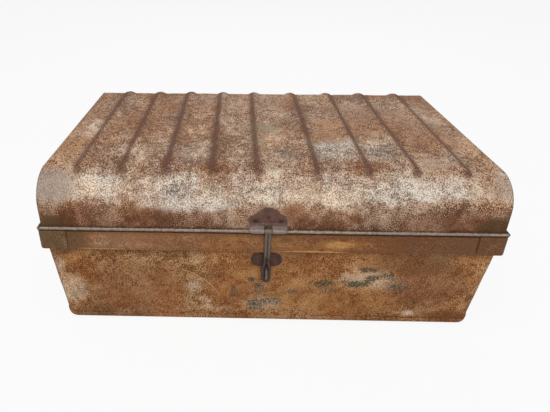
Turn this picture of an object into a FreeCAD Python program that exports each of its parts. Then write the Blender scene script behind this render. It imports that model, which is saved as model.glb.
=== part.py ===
import FreeCAD, Part
import math
import os
from FreeCAD import Placement, Rotation, Vector

# Sheet-iron travelling trunk with a fluted lid, a hollow collar and a wire hasp.
# Millimetres, +Z up, front toward -Y, origin at the middle of the bottom.

# Sheet, gaps and fits
SHEET = 1.0               # gauge of the sheet iron
LAP_GAP = 0.05            # between two lapped sheets
SEAT_GAP = 0.3            # between the closed lid and its seat
PIN_CLEARANCE = 0.05      # radial running clearance of pins
SIDE_CLEARANCE = 0.4      # beside knuckles, eyes and legs
OVERRUN = 20.0            # how far a cutting body runs past what it cuts
RUN_SHARE = 0.499         # most of a straight run that a bend may take at each end

# Overall sizes
TRUNK_WIDTH = 762.0       # over the collar, left to right
TRUNK_DEPTH = 483.0       # over the collar, front to back
LEDGE_HEIGHT = 203.5      # top of the collar, where the lid lands
LID_TOP_HEIGHT = 295.0    # flat top between the flutes

# Base walls and bottom pan
FLOOR_INSET = 17.5        # collar face to wall face, at the floor
SHOULDER_INSET = 4.5      # collar face to wall face, at the shoulder behind the collar
SHOULDER_RISE_SHARE = 0.1     # of the collar's height, from its foot to the shoulder
RIM_INSET = 9.2           # collar face to the upright rim
RIM_RISE = 8.0            # rim above the ledge, inside the lid
WALL_CORNER_RADIUS = 20.0
CORNER_RETURN = 38.0      # front and back sheets reach this far round the corners
PAN_RIM_HEIGHT = 16.0
PAN_EDGE_RADIUS = 10.0
PAN_EDGE_LIMIT_SHARE = 0.85   # of the corner radius
SEAM_RIVETS = 3           # up each corner lap

# Collar
COLLAR_HEIGHT = 35.0
COLLAR_CORNER_RADIUS = 9.0
COLLAR_BEND_RADIUS = 2.0
COLLAR_FLANGE_HEIGHT = 16.0   # inner flange, down the wall
HEM_HEIGHT = 7.0
WRAP_RETURN = 47.0        # end wraps reach this far along the front and back
LAP_TONGUE = 20.0         # strips run this far behind the wraps
COLLAR_RIVETS_LONG = 6
COLLAR_RIVETS_SHORT = 4

# Lid
BULLNOSE_SHARE = 0.5465    # bullnose radius, of the lid's rise over the ledge
WIRE_RADIUS = 2.5         # wire inside the rolled edge
BEAD_SETBACK = 0.5        # rolled edge behind the collar face
BEAD_ROLL_DEG = 300.0     # how far the sheet is rolled round the wire
MITRE_GAP = 0.8           # open corner between two rolled edges
LID_FLANGE_WIDTH = 12.0   # end plates turn in under the skin
FLUTE_WIDTH = 28.0
FLUTE_HEIGHT = 5.5
FLUTE_INSET = 34.0        # lid face to the tip of a flute
FLUTE_PLACE_SHARES = (-0.83, -0.635, -0.44, -0.238, -0.043, 0.18, 0.403, 0.608, 0.823)

# Rivets
RIVET_HEAD_RADIUS = 3.5
RIVET_HEAD_HEIGHT = 1.6
RIVET_SHANK_RADIUS = 1.6
RIVET_TAIL_RADIUS = 2.6
RIVET_TAIL = 0.8

# Latch: scalloped plate with barrel on the lid, wire hasp, lobed plate with staple on the base
LATCH_OFFSET = -5.0       # latch centre from the trunk's middle
FITTING_PLATE = 1.5       # gauge of latch, hinge and handle plates
BARREL_LENGTH = 60.5
BARREL_RISE = 6.2         # rolled edge's centre to the barrel axis
BARREL_RADIUS = 4.5
BARREL_PIN_RADIUS = 2.0
BARREL_GAP = 0.6          # rolled edge to barrel
SHOULDER_SPREAD = 21.0
HASP_PLATE_SHARE = 0.405  # scalloped plate above the barrel axis, of the lid's rise over the ledge
CROWN_RADIUS_SHARE = 0.45       # these three of the plate's rise above the barrel axis
SHOULDER_RADIUS_SHARE = 0.25
SLOPE_RISE_SHARE = 0.237        # barrel axis to where the plate leaves the lid wall
HASP_WIRE_RADIUS = 2.6
HASP_LENGTH = 108.0       # barrel axis to the foot of the loop
HASP_EYE_WIDTH = 5.5      # clear width of the loop
HASP_EYE_HEIGHT = 33.0    # clear height of the loop
HASP_SHOULDER = 8.0       # height over which the two strands open into the loop
CRANK_DROP = 5.0          # collar's lower edge to the hasp's inward crank
CRANK_HEIGHT = 8.0
HASP_WALL_GAP = 1.2       # loop to the lobed plate
HASP_EYE_WALL = 2.2       # ring round the barrel pin
LOBE_RADIUS = 11.0
FOOT_LOBE_RADIUS = 7.0
LOBE_TAPER_SHARE = 0.71  # of the lobe's radius, to where the plate tapers to its foot
LOBE_SPREAD = 13.0
LOBE_RISE = 20.5          # staple centre to the upper lobes' centres
FOOT_LOBE_DROP = 14.0     # staple centre to the lower lobe's centre
STAPLE_WIRE_RADIUS = 1.75
STAPLE_HEIGHT = 16.0      # between the centres of its legs
STAPLE_EYE = 7.0          # clear depth in front of the hasp, for a lock

# Hinges on the back
HINGE_SPREAD_SHARE = 0.656      # trunk's middle to each hinge, of half the width
HINGE_WIDTH = 42.0
KNUCKLE_RADIUS = 4.0
HINGE_PIN_RADIUS = 2.4
HINGE_LEAF_DROP = 29.0    # base leaf below the axis
JOGGLE_LOW_RISE = 5.5     # axis to where the lid leaf turns in
JOGGLE_HIGH_RISE = 11.0   # axis to where it lies on the lid
LEAF_PAD_SHARE = 0.93     # length that lies on the lid, of the lid's straight wall above that
LEAF_RIVET_SHARE = 0.6    # rivets' place up that length
HINGE_RIVET_SPREAD = 13.0
HINGE_RIVET_DROP = 21.0

# Drop handles on the ends
HANDLE_HEIGHT = 118.0     # pivot above the floor
HANDLE_PLATE_LENGTH = 172.0
HANDLE_PLATE_HEIGHT = 32.0
LUG_SPREAD = 63.0         # handle's middle to each lug's centre
LUG_LENGTH = 12.0
LUG_WALL = 2.6            # metal round the bail's journal
LUG_STANDOFF = 9.0        # plate face to the pivot axis
BAIL_RADIUS = 4.0
BAIL_DROP = 52.0
BAIL_BEND_RADIUS = 12.0
BAIL_GRIP_BOW = 6.0       # the grip stands this far outside the journals when it hangs
HANDLE_RIVET_SPREAD = 77.0
HANDLE_RIVET_RISE = 9.0

# Derived places
HALF_WIDTH = TRUNK_WIDTH / 2
HALF_DEPTH = TRUNK_DEPTH / 2
RIM_TOP = LEDGE_HEIGHT + RIM_RISE
PAN_EDGE = min(PAN_EDGE_RADIUS, PAN_EDGE_LIMIT_SHARE * WALL_CORNER_RADIUS)
WALL_BOTTOM = PAN_EDGE + SHEET
COLLAR_BOTTOM = LEDGE_HEIGHT - COLLAR_HEIGHT
SHOULDER_HEIGHT = COLLAR_BOTTOM + SHOULDER_RISE_SHARE * COLLAR_HEIGHT
WALL_SLOPE = (FLOOR_INSET - SHOULDER_INSET) / SHOULDER_HEIGHT
WALL_LEAN = math.degrees(math.atan(WALL_SLOPE))
LID_RISE = LID_TOP_HEIGHT - LEDGE_HEIGHT
BULLNOSE_RADIUS = BULLNOSE_SHARE * LID_RISE
HASP_PLATE_RISE = HASP_PLATE_SHARE * LID_RISE
CROWN_RADIUS = CROWN_RADIUS_SHARE * HASP_PLATE_RISE
SHOULDER_RADIUS = SHOULDER_RADIUS_SHARE * HASP_PLATE_RISE
SLOPE_RISE = SLOPE_RISE_SHARE * HASP_PLATE_RISE
SHOULDER_RISE = SLOPE_RISE + FITTING_PLATE + RIVET_HEAD_RADIUS + LAP_GAP
LEAF_PAD = LEAF_PAD_SHARE * (LID_RISE - BULLNOSE_RADIUS - JOGGLE_HIGH_RISE)
HINGE_LEAF_RISE = JOGGLE_HIGH_RISE + LEAF_PAD
HINGE_RIVET_RISE = JOGGLE_HIGH_RISE + LEAF_RIVET_SHARE * LEAF_PAD
HINGE_SPREAD = HINGE_SPREAD_SHARE * HALF_WIDTH
BEAD_RADIUS = WIRE_RADIUS + SHEET
BEAD_HEIGHT = LEDGE_HEIGHT + SEAT_GAP + BEAD_RADIUS
LID_INSET = BEAD_SETBACK + BEAD_RADIUS + WIRE_RADIUS
LID_HALF_WIDTH = HALF_WIDTH - LID_INSET
LID_HALF_DEPTH = HALF_DEPTH - LID_INSET
BARREL_Y = -(HALF_DEPTH - BEAD_SETBACK + BARREL_GAP + BARREL_RADIUS)
HINGE_Y = HALF_DEPTH - SHEET - LAP_GAP + KNUCKLE_RADIUS + SHEET
HINGE_Z = LEDGE_HEIGHT
CRANK_TOP = COLLAR_BOTTOM - CRANK_DROP
BARREL_Z = BEAD_HEIGHT + BARREL_RISE
HASP_FOOT = BARREL_Z - HASP_LENGTH
STAPLE_Z = HASP_FOOT + 2 * HASP_WIRE_RADIUS + HASP_EYE_HEIGHT / 2

X_AXIS = Vector(1, 0, 0)
Y_AXIS = Vector(0, 1, 0)
Z_AXIS = Vector(0, 0, 1)
ORIGIN = Vector(0, 0, 0)
FRONT, RIGHT, BACK, LEFT = 0, 90, 180, -90


# Small geometry helpers

def bounded_face(start, *steps):
    """Face inside lines and arcs: a step is an end point, or (point on the arc, end point)."""
    edges = []
    here = start
    for step in steps:
        if isinstance(step, tuple):
            edges.append(Part.Arc(here, *step).toShape())
            here = step[1]
        else:
            edges.append(Part.LineSegment(here, step).toShape())
            here = step
    edges.append(Part.LineSegment(here, start).toShape())
    return Part.Face(Part.Wire(edges))


def box_between(low, high):
    """Box between two corners."""
    size = high - low
    return Part.makeBox(size.x, size.y, size.z, low)


def fused(shapes):
    """One solid from overlapping shapes."""
    return shapes[0].multiFuse(shapes[1:]).removeSplitter()


def placed(shape, place):
    """Copy of a locally drawn shape, moved to its place."""
    moved = shape.copy()
    moved.Placement = place.multiply(moved.Placement)
    return moved


def face_place(side, along, half, height, lean=0.0):
    """Place on an upright or leaning face: local +X runs along it and -Y points out of it."""
    turn = Rotation(Z_AXIS, side)
    point = turn.multVec(Vector(along, -half, height))
    return Placement(point, turn.multiply(Rotation(X_AXIS, lean)))


def mirrored(shape):
    """The left-hand twin of a right-hand shape."""
    return shape.mirror(ORIGIN, X_AXIS)


def disc(x, z, radius, thickness):
    """Round plate standing in the XZ plane, its thickness toward -Y."""
    return Part.makeCylinder(radius, thickness, Vector(x, 0, z), -Y_AXIS)


def bent_rod(points, bend_radius, rod_radius):
    """Round rod along straight runs joined by tangent arcs, limited by the runs beside them."""
    edges = []
    here = points[0]
    for before, corner, after in zip(points, points[1:], points[2:]):
        run_in = before - corner
        run_out = after - corner
        shorter = min(run_in.Length, run_out.Length)
        run_in.normalize()
        run_out.normalize()
        half_turn = (math.pi - run_in.getAngle(run_out)) / 2
        setback = min(bend_radius * math.tan(half_turn), RUN_SHARE * shorter)
        bisector = (run_in + run_out).normalize()
        radius = setback / math.tan(half_turn)
        middle = corner + bisector * (radius / math.cos(half_turn) - radius)
        start = corner + run_in * setback
        end = corner + run_out * setback
        edges.append(Part.LineSegment(here, start).toShape())
        edges.append(Part.Arc(start, middle, end).toShape())
        here = end
    edges.append(Part.LineSegment(here, points[-1]).toShape())
    ring = Part.Wire(Part.makeCircle(rod_radius, points[0], points[1] - points[0]))
    return Part.Wire(edges).makePipeShell([ring], True, False)


# Rivets

def rivet(grip):
    """Domed rivet, head toward -Y on the plane y = 0, flat tail beyond the grip."""
    ball = (RIVET_HEAD_RADIUS ** 2 + RIVET_HEAD_HEIGHT ** 2) / (2 * RIVET_HEAD_HEIGHT)
    half_angle = math.asin(RIVET_HEAD_RADIUS / ball) / 2
    crown = Vector(0, -RIVET_HEAD_HEIGHT, 0)
    on_dome = Vector(ball * math.sin(half_angle), ball - RIVET_HEAD_HEIGHT - ball * math.cos(half_angle), 0)
    tail_end = grip + RIVET_TAIL
    half_section = bounded_face(
        crown, (on_dome, Vector(RIVET_HEAD_RADIUS, 0, 0)), Vector(RIVET_SHANK_RADIUS, 0, 0),
        Vector(RIVET_SHANK_RADIUS, grip, 0), Vector(RIVET_TAIL_RADIUS, grip, 0),
        Vector(RIVET_TAIL_RADIUS, tail_end, 0), Vector(0, tail_end, 0))
    return half_section.revolve(ORIGIN, Y_AXIS, 360)


def drill(grip):
    """Cutting body of a rivet's hole."""
    reach = RIVET_HEAD_HEIGHT + RIVET_TAIL
    start = Vector(0, -reach, 0)
    return Part.makeCylinder(RIVET_SHANK_RADIUS + PIN_CLEARANCE, grip + 2 * reach, start, Y_AXIS)


def riveted(places, grip):
    """A group of equal rivets and the group of their holes."""
    rivets = Part.makeCompound([placed(rivet(grip), place) for place in places])
    holes = Part.makeCompound([placed(drill(grip), place) for place in places])
    return rivets, holes


# Base: leaning walls and bottom pan

def wall_half_width(z):
    """Middle of the trunk to the outer face of an end wall, below its shoulder."""
    return HALF_WIDTH - FLOOR_INSET + WALL_SLOPE * z


def wall_half_depth(z):
    """Middle of the trunk to the outer face of the front or back wall, below its shoulder."""
    return HALF_DEPTH - FLOOR_INSET + WALL_SLOPE * z


def tapered_block(inset, low, high, floor_radius=0.0):
    """Solid inside the leaning walls, with round corners and, if asked, a round floor edge."""
    low_x, high_x = (wall_half_width(z) - inset for z in (low, high))
    low_y, high_y = (wall_half_depth(z) - inset for z in (low, high))
    block = Part.makeWedge(-low_x, low, -low_y, -high_y, -high_x, low_x, high, low_y, high_y, high_x)
    block.rotate(ORIGIN, X_AXIS, 90)
    corners = [edge for edge in block.Edges if edge.BoundBox.ZLength > (high - low) / 2]
    block = block.makeFillet(WALL_CORNER_RADIUS - inset, corners)
    if floor_radius:
        floor_edges = [edge for edge in block.Edges if edge.BoundBox.ZMax < (low + SHEET / 2)]
        block = block.makeFillet(floor_radius, floor_edges)
    return block


def bottom_pan():
    """Floor sheet whose rim turns up outside the walls."""
    outer = tapered_block(-SHEET - LAP_GAP, 0, PAN_RIM_HEIGHT, PAN_EDGE)
    inner = tapered_block(-LAP_GAP, SHEET, PAN_RIM_HEIGHT + OVERRUN, PAN_EDGE - SHEET)
    return outer.cut(inner)


def rim_block(inset, low, high):
    """Upright block inside the rim, with round corners."""
    far = Vector(HALF_WIDTH - RIM_INSET - inset, HALF_DEPTH - RIM_INSET - inset, high)
    block = box_between(Vector(-far.x, -far.y, low), far)
    corners = [edge for edge in block.Edges if edge.BoundBox.ZLength > (high - low) / 2]
    return block.makeFillet(WALL_CORNER_RADIUS - inset, corners)


def walled_block(inset, low, high):
    """Solid inside the walls: leaning to a shoulder behind the collar, and upright above it."""
    leaning = tapered_block(inset, low, SHOULDER_HEIGHT - inset)
    return fused([leaning, rim_block(inset, COLLAR_BOTTOM, high)])


def wall_sheet(inset):
    """All four walls as one sheet, its outer face `inset` inside the visible wall face."""
    outer = walled_block(inset, WALL_BOTTOM, RIM_TOP)
    return outer.cut(walled_block(inset + SHEET, WALL_BOTTOM - OVERRUN, RIM_TOP + OVERRUN))


def seam_places():
    """Rivet places of the four corner laps."""
    low = PAN_RIM_HEIGHT
    step = (COLLAR_BOTTOM - low) / SEAM_RIVETS
    half_lap = (CORNER_RETURN - WALL_CORNER_RADIUS) / 2
    places = []
    for side in (LEFT, RIGHT):
        for row in range(SEAM_RIVETS):
            z = low + step * (row + 0.5)
            along = wall_half_depth(WALL_BOTTOM) - WALL_CORNER_RADIUS - half_lap
            for sign in (-1, 1):
                places.append(face_place(side, sign * along, wall_half_width(z), z, WALL_LEAN))
    return places


# Collar: ledge, skirt and hem round the mouth of the base

def skirt_section(inset, drop, with_hem=True):
    """Bent edge of the collar in the XZ plane at the right end: ledge stub, bend, skirt, hem."""
    face = HALF_WIDTH - inset
    top = LEDGE_HEIGHT - drop
    inner_radius = COLLAR_BEND_RADIUS - SHEET
    slant = math.sqrt(0.5)
    bend = Vector(face - COLLAR_BEND_RADIUS, 0, top - COLLAR_BEND_RADIUS)
    stub = bend.x - COLLAR_BEND_RADIUS
    foot = COLLAR_BOTTOM if with_hem else COLLAR_BOTTOM + HEM_HEIGHT + SIDE_CLEARANCE
    steps = [Vector(bend.x, 0, top),
             (bend + Vector(slant, 0, slant) * COLLAR_BEND_RADIUS, Vector(face, 0, bend.z))]
    if with_hem:
        steps += [Vector(face, 0, foot + SHEET),
                  (Vector(face - SHEET, 0, foot), Vector(face - 2 * SHEET, 0, foot + SHEET)),
                  Vector(face - 2 * SHEET, 0, foot + HEM_HEIGHT),
                  Vector(face - SHEET, 0, foot + HEM_HEIGHT)]
    else:
        steps += [Vector(face, 0, foot), Vector(face - SHEET, 0, foot)]
    steps += [Vector(face - SHEET, 0, bend.z),
              (bend + Vector(slant, 0, slant) * inner_radius, Vector(bend.x, 0, top - SHEET)),
              Vector(stub, 0, top - SHEET)]
    return bounded_face(Vector(stub, 0, top), *steps)


def ledge_lap():
    """Collar face to the outer edge of the ledge, inside the bend's own stub."""
    return COLLAR_BEND_RADIUS * 3 / 2


def ledge_and_flange(face, length, drop):
    """Inner part of a straight collar length, along Y at the right end: ledge and inner flange."""
    top = LEDGE_HEIGHT - drop
    foot = top - COLLAR_FLANGE_HEIGHT
    rim = face - RIM_INSET + LAP_GAP
    edge = face - drop - ledge_lap()
    section = bounded_face(
        Vector(edge, 0, top), Vector(rim, 0, top), Vector(rim, 0, foot), Vector(rim + SHEET, 0, foot),
        Vector(rim + SHEET, 0, top - SHEET), Vector(edge, 0, top - SHEET))
    section.translate(Vector(0, -length / 2, 0))
    return section.extrude(Vector(0, length, 0))


def collar_wrap():
    """Right-hand collar length: the end, both corners and the laps on the front and back."""
    section = skirt_section(0, 0)
    straight = HALF_DEPTH - COLLAR_CORNER_RADIUS
    axis_x = HALF_WIDTH - COLLAR_CORNER_RADIUS
    end_run = section.translated(Vector(0, -straight, 0)).extrude(Vector(0, 2 * straight, 0))
    corner = section.translated(Vector(0, straight, 0)).revolve(Vector(axis_x, straight, 0), Z_AXIS, 90)
    lap_section = section.copy()
    lap_section.rotate(Vector(axis_x, 0, 0), Z_AXIS, 90)
    lap_section.translate(Vector(0, straight, 0))
    lap = lap_section.extrude(Vector(-(WRAP_RETURN - COLLAR_CORNER_RADIUS), 0, 0))
    twins = [shape.mirror(ORIGIN, Y_AXIS) for shape in (corner, lap)]
    far = Vector(HALF_WIDTH - ledge_lap(), HALF_DEPTH - ledge_lap(), LEDGE_HEIGHT)
    ledge = box_between(Vector(-far.x, -far.y, far.z - SHEET), far)
    uprights = [edge for edge in ledge.Edges if edge.BoundBox.ZLength > SHEET / 2]
    ledge = ledge.makeFillet(COLLAR_CORNER_RADIUS - ledge_lap(), uprights)
    inboard = box_between(Vector(-far.x, -far.y, 0), Vector(HALF_WIDTH - WRAP_RETURN, far.y, RIM_TOP))
    ledge = ledge.cut([inboard, rim_block(-LAP_GAP, COLLAR_BOTTOM, RIM_TOP)])
    flange_run = 2 * (HALF_DEPTH - RIM_INSET - WALL_CORNER_RADIUS)
    flange = ledge_and_flange(HALF_WIDTH, flange_run, 0)
    return fused([end_run, corner, lap, *twins, ledge, flange])


def collar_strip():
    """Front collar length: runs between the wraps, with a tongue behind each of them."""
    inset = SHEET + LAP_GAP
    run = 2 * (HALF_WIDTH - WRAP_RETURN - LAP_GAP)
    tongue_run = run + 2 * LAP_TONGUE
    turn = Placement(ORIGIN, Rotation(Z_AXIS, -90))
    shift = Vector(HALF_DEPTH - HALF_WIDTH, 0, 0)
    lengths = []
    for with_hem, length in ((True, run), (False, tongue_run)):
        section = skirt_section(inset, inset, with_hem)
        section.translate(shift + Vector(0, -length / 2, 0))
        lengths.append(section.extrude(Vector(0, length, 0)))
    flange = ledge_and_flange(HALF_DEPTH, tongue_run, inset)
    return placed(fused([*lengths, flange]), turn)


def collar_rivet_places():
    """Rivet places of the collar's inner flange on the long sides and on the ends, heads inside."""
    z = LEDGE_HEIGHT - COLLAR_FLANGE_HEIGHT / 2 - SHEET
    long_run = 2 * (HALF_WIDTH - WRAP_RETURN)
    short_run = 2 * (HALF_DEPTH - CORNER_RETURN)
    long_places = []
    short_places = []
    for side in (FRONT, BACK):
        inside = SHEET + RIM_INSET - HALF_DEPTH
        for index in range(COLLAR_RIVETS_LONG):
            along = long_run * ((index + 0.5) / COLLAR_RIVETS_LONG - 0.5)
            long_places.append(face_place(side + 180, along, inside, z))
    for side in (LEFT, RIGHT):
        inside = 2 * SHEET + LAP_GAP + RIM_INSET - HALF_WIDTH
        for index in range(COLLAR_RIVETS_SHORT):
            along = short_run * ((index + 0.5) / COLLAR_RIVETS_SHORT - 0.5)
            short_places.append(face_place(side + 180, along, inside, z))
    return long_places, short_places


# Lid: fluted skin, end plates and wired edge

def lid_section(inset, low):
    """Section of the lid across its front and back, in the YZ plane at x = 0."""
    half = LID_HALF_DEPTH - inset
    top = LID_TOP_HEIGHT - inset
    radius = BULLNOSE_RADIUS - inset
    spring = top - radius
    reach = radius * math.sqrt(0.5)
    return bounded_face(
        Vector(0, -half, low), Vector(0, -half, spring),
        (Vector(0, -half + radius - reach, spring + reach), Vector(0, -half + radius, top)),
        Vector(0, half - radius, top),
        (Vector(0, half - radius + reach, spring + reach), Vector(0, half, spring)),
        Vector(0, half, low))


def lid_prism(inset, low, half_width):
    """Solid lid between x = -half_width and x = half_width."""
    section = lid_section(inset, low).translated(Vector(-half_width, 0, 0))
    return section.extrude(Vector(2 * half_width, 0, 0))


def flutes(inset):
    """Nine round-backed bars with ball ends, sunk in the lid so that only their crowns show."""
    ball = (FLUTE_WIDTH ** 2 / 4 + FLUTE_HEIGHT ** 2) / (2 * FLUTE_HEIGHT)
    half_chord = FLUTE_WIDTH / 2
    run = LID_HALF_DEPTH - FLUTE_INSET - half_chord
    z = LID_TOP_HEIGHT + FLUTE_HEIGHT - ball
    bars = []
    for share in FLUTE_PLACE_SHARES:
        x = share * LID_HALF_WIDTH
        bars.append(Part.makeCylinder(ball - inset, 2 * run, Vector(x, -run, z), Y_AXIS))
        bars.extend(Part.makeSphere(ball - inset, Vector(x, y, z)) for y in (-run, run))
    return bars


def rolled_edge(length):
    """Sheet rolled round the wire, along X, drawn for the front with the wire's centre on the axis."""
    def around(radius, degrees):
        angle = math.radians(-degrees)
        return Vector(0, radius * math.cos(angle), radius * math.sin(angle))

    section = bounded_face(
        around(BEAD_RADIUS, 0), (around(BEAD_RADIUS, BEAD_ROLL_DEG / 2), around(BEAD_RADIUS, BEAD_ROLL_DEG)),
        around(WIRE_RADIUS, BEAD_ROLL_DEG), (around(WIRE_RADIUS, BEAD_ROLL_DEG / 2), around(WIRE_RADIUS, 0)))
    section.translate(Vector(-length / 2, 0, 0))
    return section.extrude(Vector(length, 0, 0))


def mitred_edge(half_length):
    """Rolled edge of a side whose lid wall reaches half_length each way, mitred at both ends."""
    reach = half_length + WIRE_RADIUS + BEAD_RADIUS
    edge = rolled_edge(2 * reach)
    for sign in (-1, 1):
        corner = Vector(sign * (half_length + WIRE_RADIUS - MITRE_GAP), 0, 0)
        wedge = Part.makeBox(OVERRUN, 2 * OVERRUN, 2 * OVERRUN, Vector(0, -OVERRUN, -OVERRUN))
        wedge.rotate(ORIGIN, Z_AXIS, 45 if sign > 0 else 135)
        wedge.translate(corner)
        edge = edge.cut(wedge)
    return edge


def lid_skin():
    """Sheet over the lid from front edge to back edge, with flutes and rolled edges."""
    outer = lid_prism(0, BEAD_HEIGHT, LID_HALF_WIDTH).multiFuse(flutes(0))
    inner = lid_prism(SHEET, BEAD_HEIGHT - OVERRUN, LID_HALF_WIDTH + OVERRUN).multiFuse(flutes(SHEET))
    edge = mitred_edge(LID_HALF_WIDTH)
    wire_line = LID_HALF_DEPTH + WIRE_RADIUS
    edges = [placed(edge, face_place(side, 0, wire_line, BEAD_HEIGHT)) for side in (FRONT, BACK)]
    return fused([outer.cut(inner), *edges])


def lid_end():
    """Right-hand end plate, turned in under the skin, with its rolled lower edge."""
    inset = SHEET + LAP_GAP
    outline = lid_section(inset, BEAD_HEIGHT)
    plate = outline.translated(Vector(LID_HALF_WIDTH - SHEET, 0, 0)).extrude(Vector(SHEET, 0, 0))
    flange_low = RIM_TOP + SIDE_CLEARANCE
    rim = lid_section(inset, flange_low).cut(lid_section(inset + SHEET, flange_low - OVERRUN))
    rim.translate(Vector(LID_HALF_WIDTH - LID_FLANGE_WIDTH, 0, 0))
    flange = rim.extrude(Vector(LID_FLANGE_WIDTH, 0, 0))
    edge_place = face_place(RIGHT, 0, LID_HALF_WIDTH + WIRE_RADIUS, BEAD_HEIGHT)
    return fused([plate, flange, placed(mitred_edge(LID_HALF_DEPTH), edge_place)])


def lid_edge_wire():
    """Wire inside the rolled edges, one closed rectangle."""
    radius = WIRE_RADIUS - LAP_GAP
    x = LID_HALF_WIDTH + WIRE_RADIUS
    y = LID_HALF_DEPTH + WIRE_RADIUS
    pieces = []
    for sign in (-1, 1):
        pieces.append(Part.makeCylinder(radius, 2 * x, Vector(-x, sign * y, BEAD_HEIGHT), X_AXIS))
        pieces.append(Part.makeCylinder(radius, 2 * y, Vector(sign * x, -y, BEAD_HEIGHT), Y_AXIS))
        pieces.extend(Part.makeSphere(radius, Vector(sign * x, end * y, BEAD_HEIGHT)) for end in (-1, 1))
    return fused(pieces)


# Latch

def hasp_plate():
    """Scalloped plate on the lid's front, sloping out over the rolled edge into a slotted barrel."""
    wall_y = -LID_HALF_DEPTH
    base = Placement(Vector(LATCH_OFFSET, wall_y, BARREL_Z), Rotation())
    lobes = [disc(0, HASP_PLATE_RISE - CROWN_RADIUS, CROWN_RADIUS, FITTING_PLATE)]
    lobes += [disc(sign * SHOULDER_SPREAD, SHOULDER_RISE, SHOULDER_RADIUS, FITTING_PLATE) for sign in (-1, 1)]
    lobes.append(box_between(Vector(-SHOULDER_SPREAD, -FITTING_PLATE, SLOPE_RISE),
                             Vector(SHOULDER_SPREAD, 0, SHOULDER_RISE + SHOULDER_RADIUS / 2)))
    half = BARREL_LENGTH / 2
    reach = SHOULDER_SPREAD + SHOULDER_RADIUS
    below = box_between(Vector(-reach, -OVERRUN, -OVERRUN), Vector(reach, OVERRUN, SLOPE_RISE))
    scallop = fused(lobes).cut(below)
    out = BARREL_Y - wall_y
    slope = bounded_face(
        Vector(-half, 0, SLOPE_RISE), Vector(-half, 0, SLOPE_RISE + FITTING_PLATE),
        Vector(-half, -FITTING_PLATE, SLOPE_RISE + FITTING_PLATE), Vector(-half, out, BARREL_RADIUS),
        Vector(-half, out, BARREL_RADIUS - FITTING_PLATE)).extrude(Vector(BARREL_LENGTH, 0, 0))
    barrel = Part.makeCylinder(BARREL_RADIUS, BARREL_LENGTH, Vector(-half, out, 0), X_AXIS)
    bore = Part.makeCylinder(BARREL_PIN_RADIUS + PIN_CLEARANCE, BARREL_LENGTH, Vector(-half, out, 0), X_AXIS)
    half_slot = hasp_eye_half_width() + SIDE_CLEARANCE
    slot = box_between(Vector(-half_slot, out - OVERRUN, -OVERRUN),
                       Vector(half_slot, out + BARREL_RADIUS, SLOPE_RISE - SIDE_CLEARANCE))
    return placed(fused([scallop, slope, barrel]).cut(bore).cut(slot), base)


def hasp_eye_half_width():
    """Half the width of the hasp's two strands where they ring the barrel pin."""
    return 2 * HASP_WIRE_RADIUS + LAP_GAP


def hasp_plate_places():
    """Rivets of the scalloped plate: one in the crown and one in each shoulder."""
    half = LID_HALF_DEPTH + FITTING_PLATE
    spots = [(0, HASP_PLATE_RISE - CROWN_RADIUS)]
    spots += [(sign * SHOULDER_SPREAD, SHOULDER_RISE) for sign in (-1, 1)]
    return [face_place(FRONT, LATCH_OFFSET + x, half, BARREL_Z + rise) for x, rise in spots]


def hasp_pivot_pin():
    """Pin through the barrel."""
    start = Vector(LATCH_OFFSET - BARREL_LENGTH / 2, BARREL_Y, BARREL_Z)
    return Part.makeCylinder(BARREL_PIN_RADIUS, BARREL_LENGTH, start, X_AXIS)


def hasp_loop_y():
    """Depth of the hasp's loop: just in front of the lobed plate where that stands furthest out."""
    plate_face = wall_half_depth(STAPLE_Z + LOBE_RISE + LOBE_RADIUS) + FITTING_PLATE
    return -(plate_face + HASP_WALL_GAP + HASP_WIRE_RADIUS)


def hasp_loop():
    """Wire bent double: eyes on the pin, two strands, an inward crank and a long open loop."""
    strand = HASP_WIRE_RADIUS + LAP_GAP / 2
    side = HASP_EYE_WIDTH / 2 + HASP_WIRE_RADIUS
    back = hasp_loop_y()
    eye_top = HASP_FOOT + 2 * HASP_WIRE_RADIUS + HASP_EYE_HEIGHT
    foot = HASP_FOOT + HASP_WIRE_RADIUS
    half_path = [Vector(-strand, BARREL_Y, BARREL_Z - BARREL_PIN_RADIUS - HASP_EYE_WALL / 2),
                 Vector(-strand, BARREL_Y, CRANK_TOP),
                 Vector(-strand, back, CRANK_TOP - CRANK_HEIGHT),
                 Vector(-strand, back, eye_top + HASP_SHOULDER / 2),
                 Vector(-side, back, eye_top - HASP_SHOULDER),
                 Vector(-side, back, foot)]
    other_half = [Vector(-point.x, point.y, point.z) for point in reversed(half_path)]
    wire = bent_rod(half_path + other_half, side, HASP_WIRE_RADIUS)
    half = hasp_eye_half_width()
    ring_start = Vector(-half, BARREL_Y, BARREL_Z)
    bore_radius = BARREL_PIN_RADIUS + PIN_CLEARANCE
    ring = Part.makeCylinder(bore_radius + HASP_EYE_WALL, 2 * half, ring_start, X_AXIS)
    bore = Part.makeCylinder(bore_radius, 2 * half, ring_start, X_AXIS)
    web = box_between(Vector(-LAP_GAP, BARREL_Y - HASP_WIRE_RADIUS / 2, CRANK_TOP),
                      Vector(LAP_GAP, BARREL_Y + HASP_WIRE_RADIUS / 2, BARREL_Z - BARREL_PIN_RADIUS))
    loop = fused([wire, ring, web]).cut(bore)
    return loop.translated(Vector(LATCH_OFFSET, 0, 0))


def staple_plate_place():
    """Where the lobed plate and its staple sit on the front wall."""
    return face_place(FRONT, LATCH_OFFSET, wall_half_depth(STAPLE_Z), STAPLE_Z, WALL_LEAN)


LOBES = ((-LOBE_SPREAD, LOBE_RISE, LOBE_RADIUS), (LOBE_SPREAD, LOBE_RISE, LOBE_RADIUS),
         (0, -FOOT_LOBE_DROP, FOOT_LOBE_RADIUS))


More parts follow.
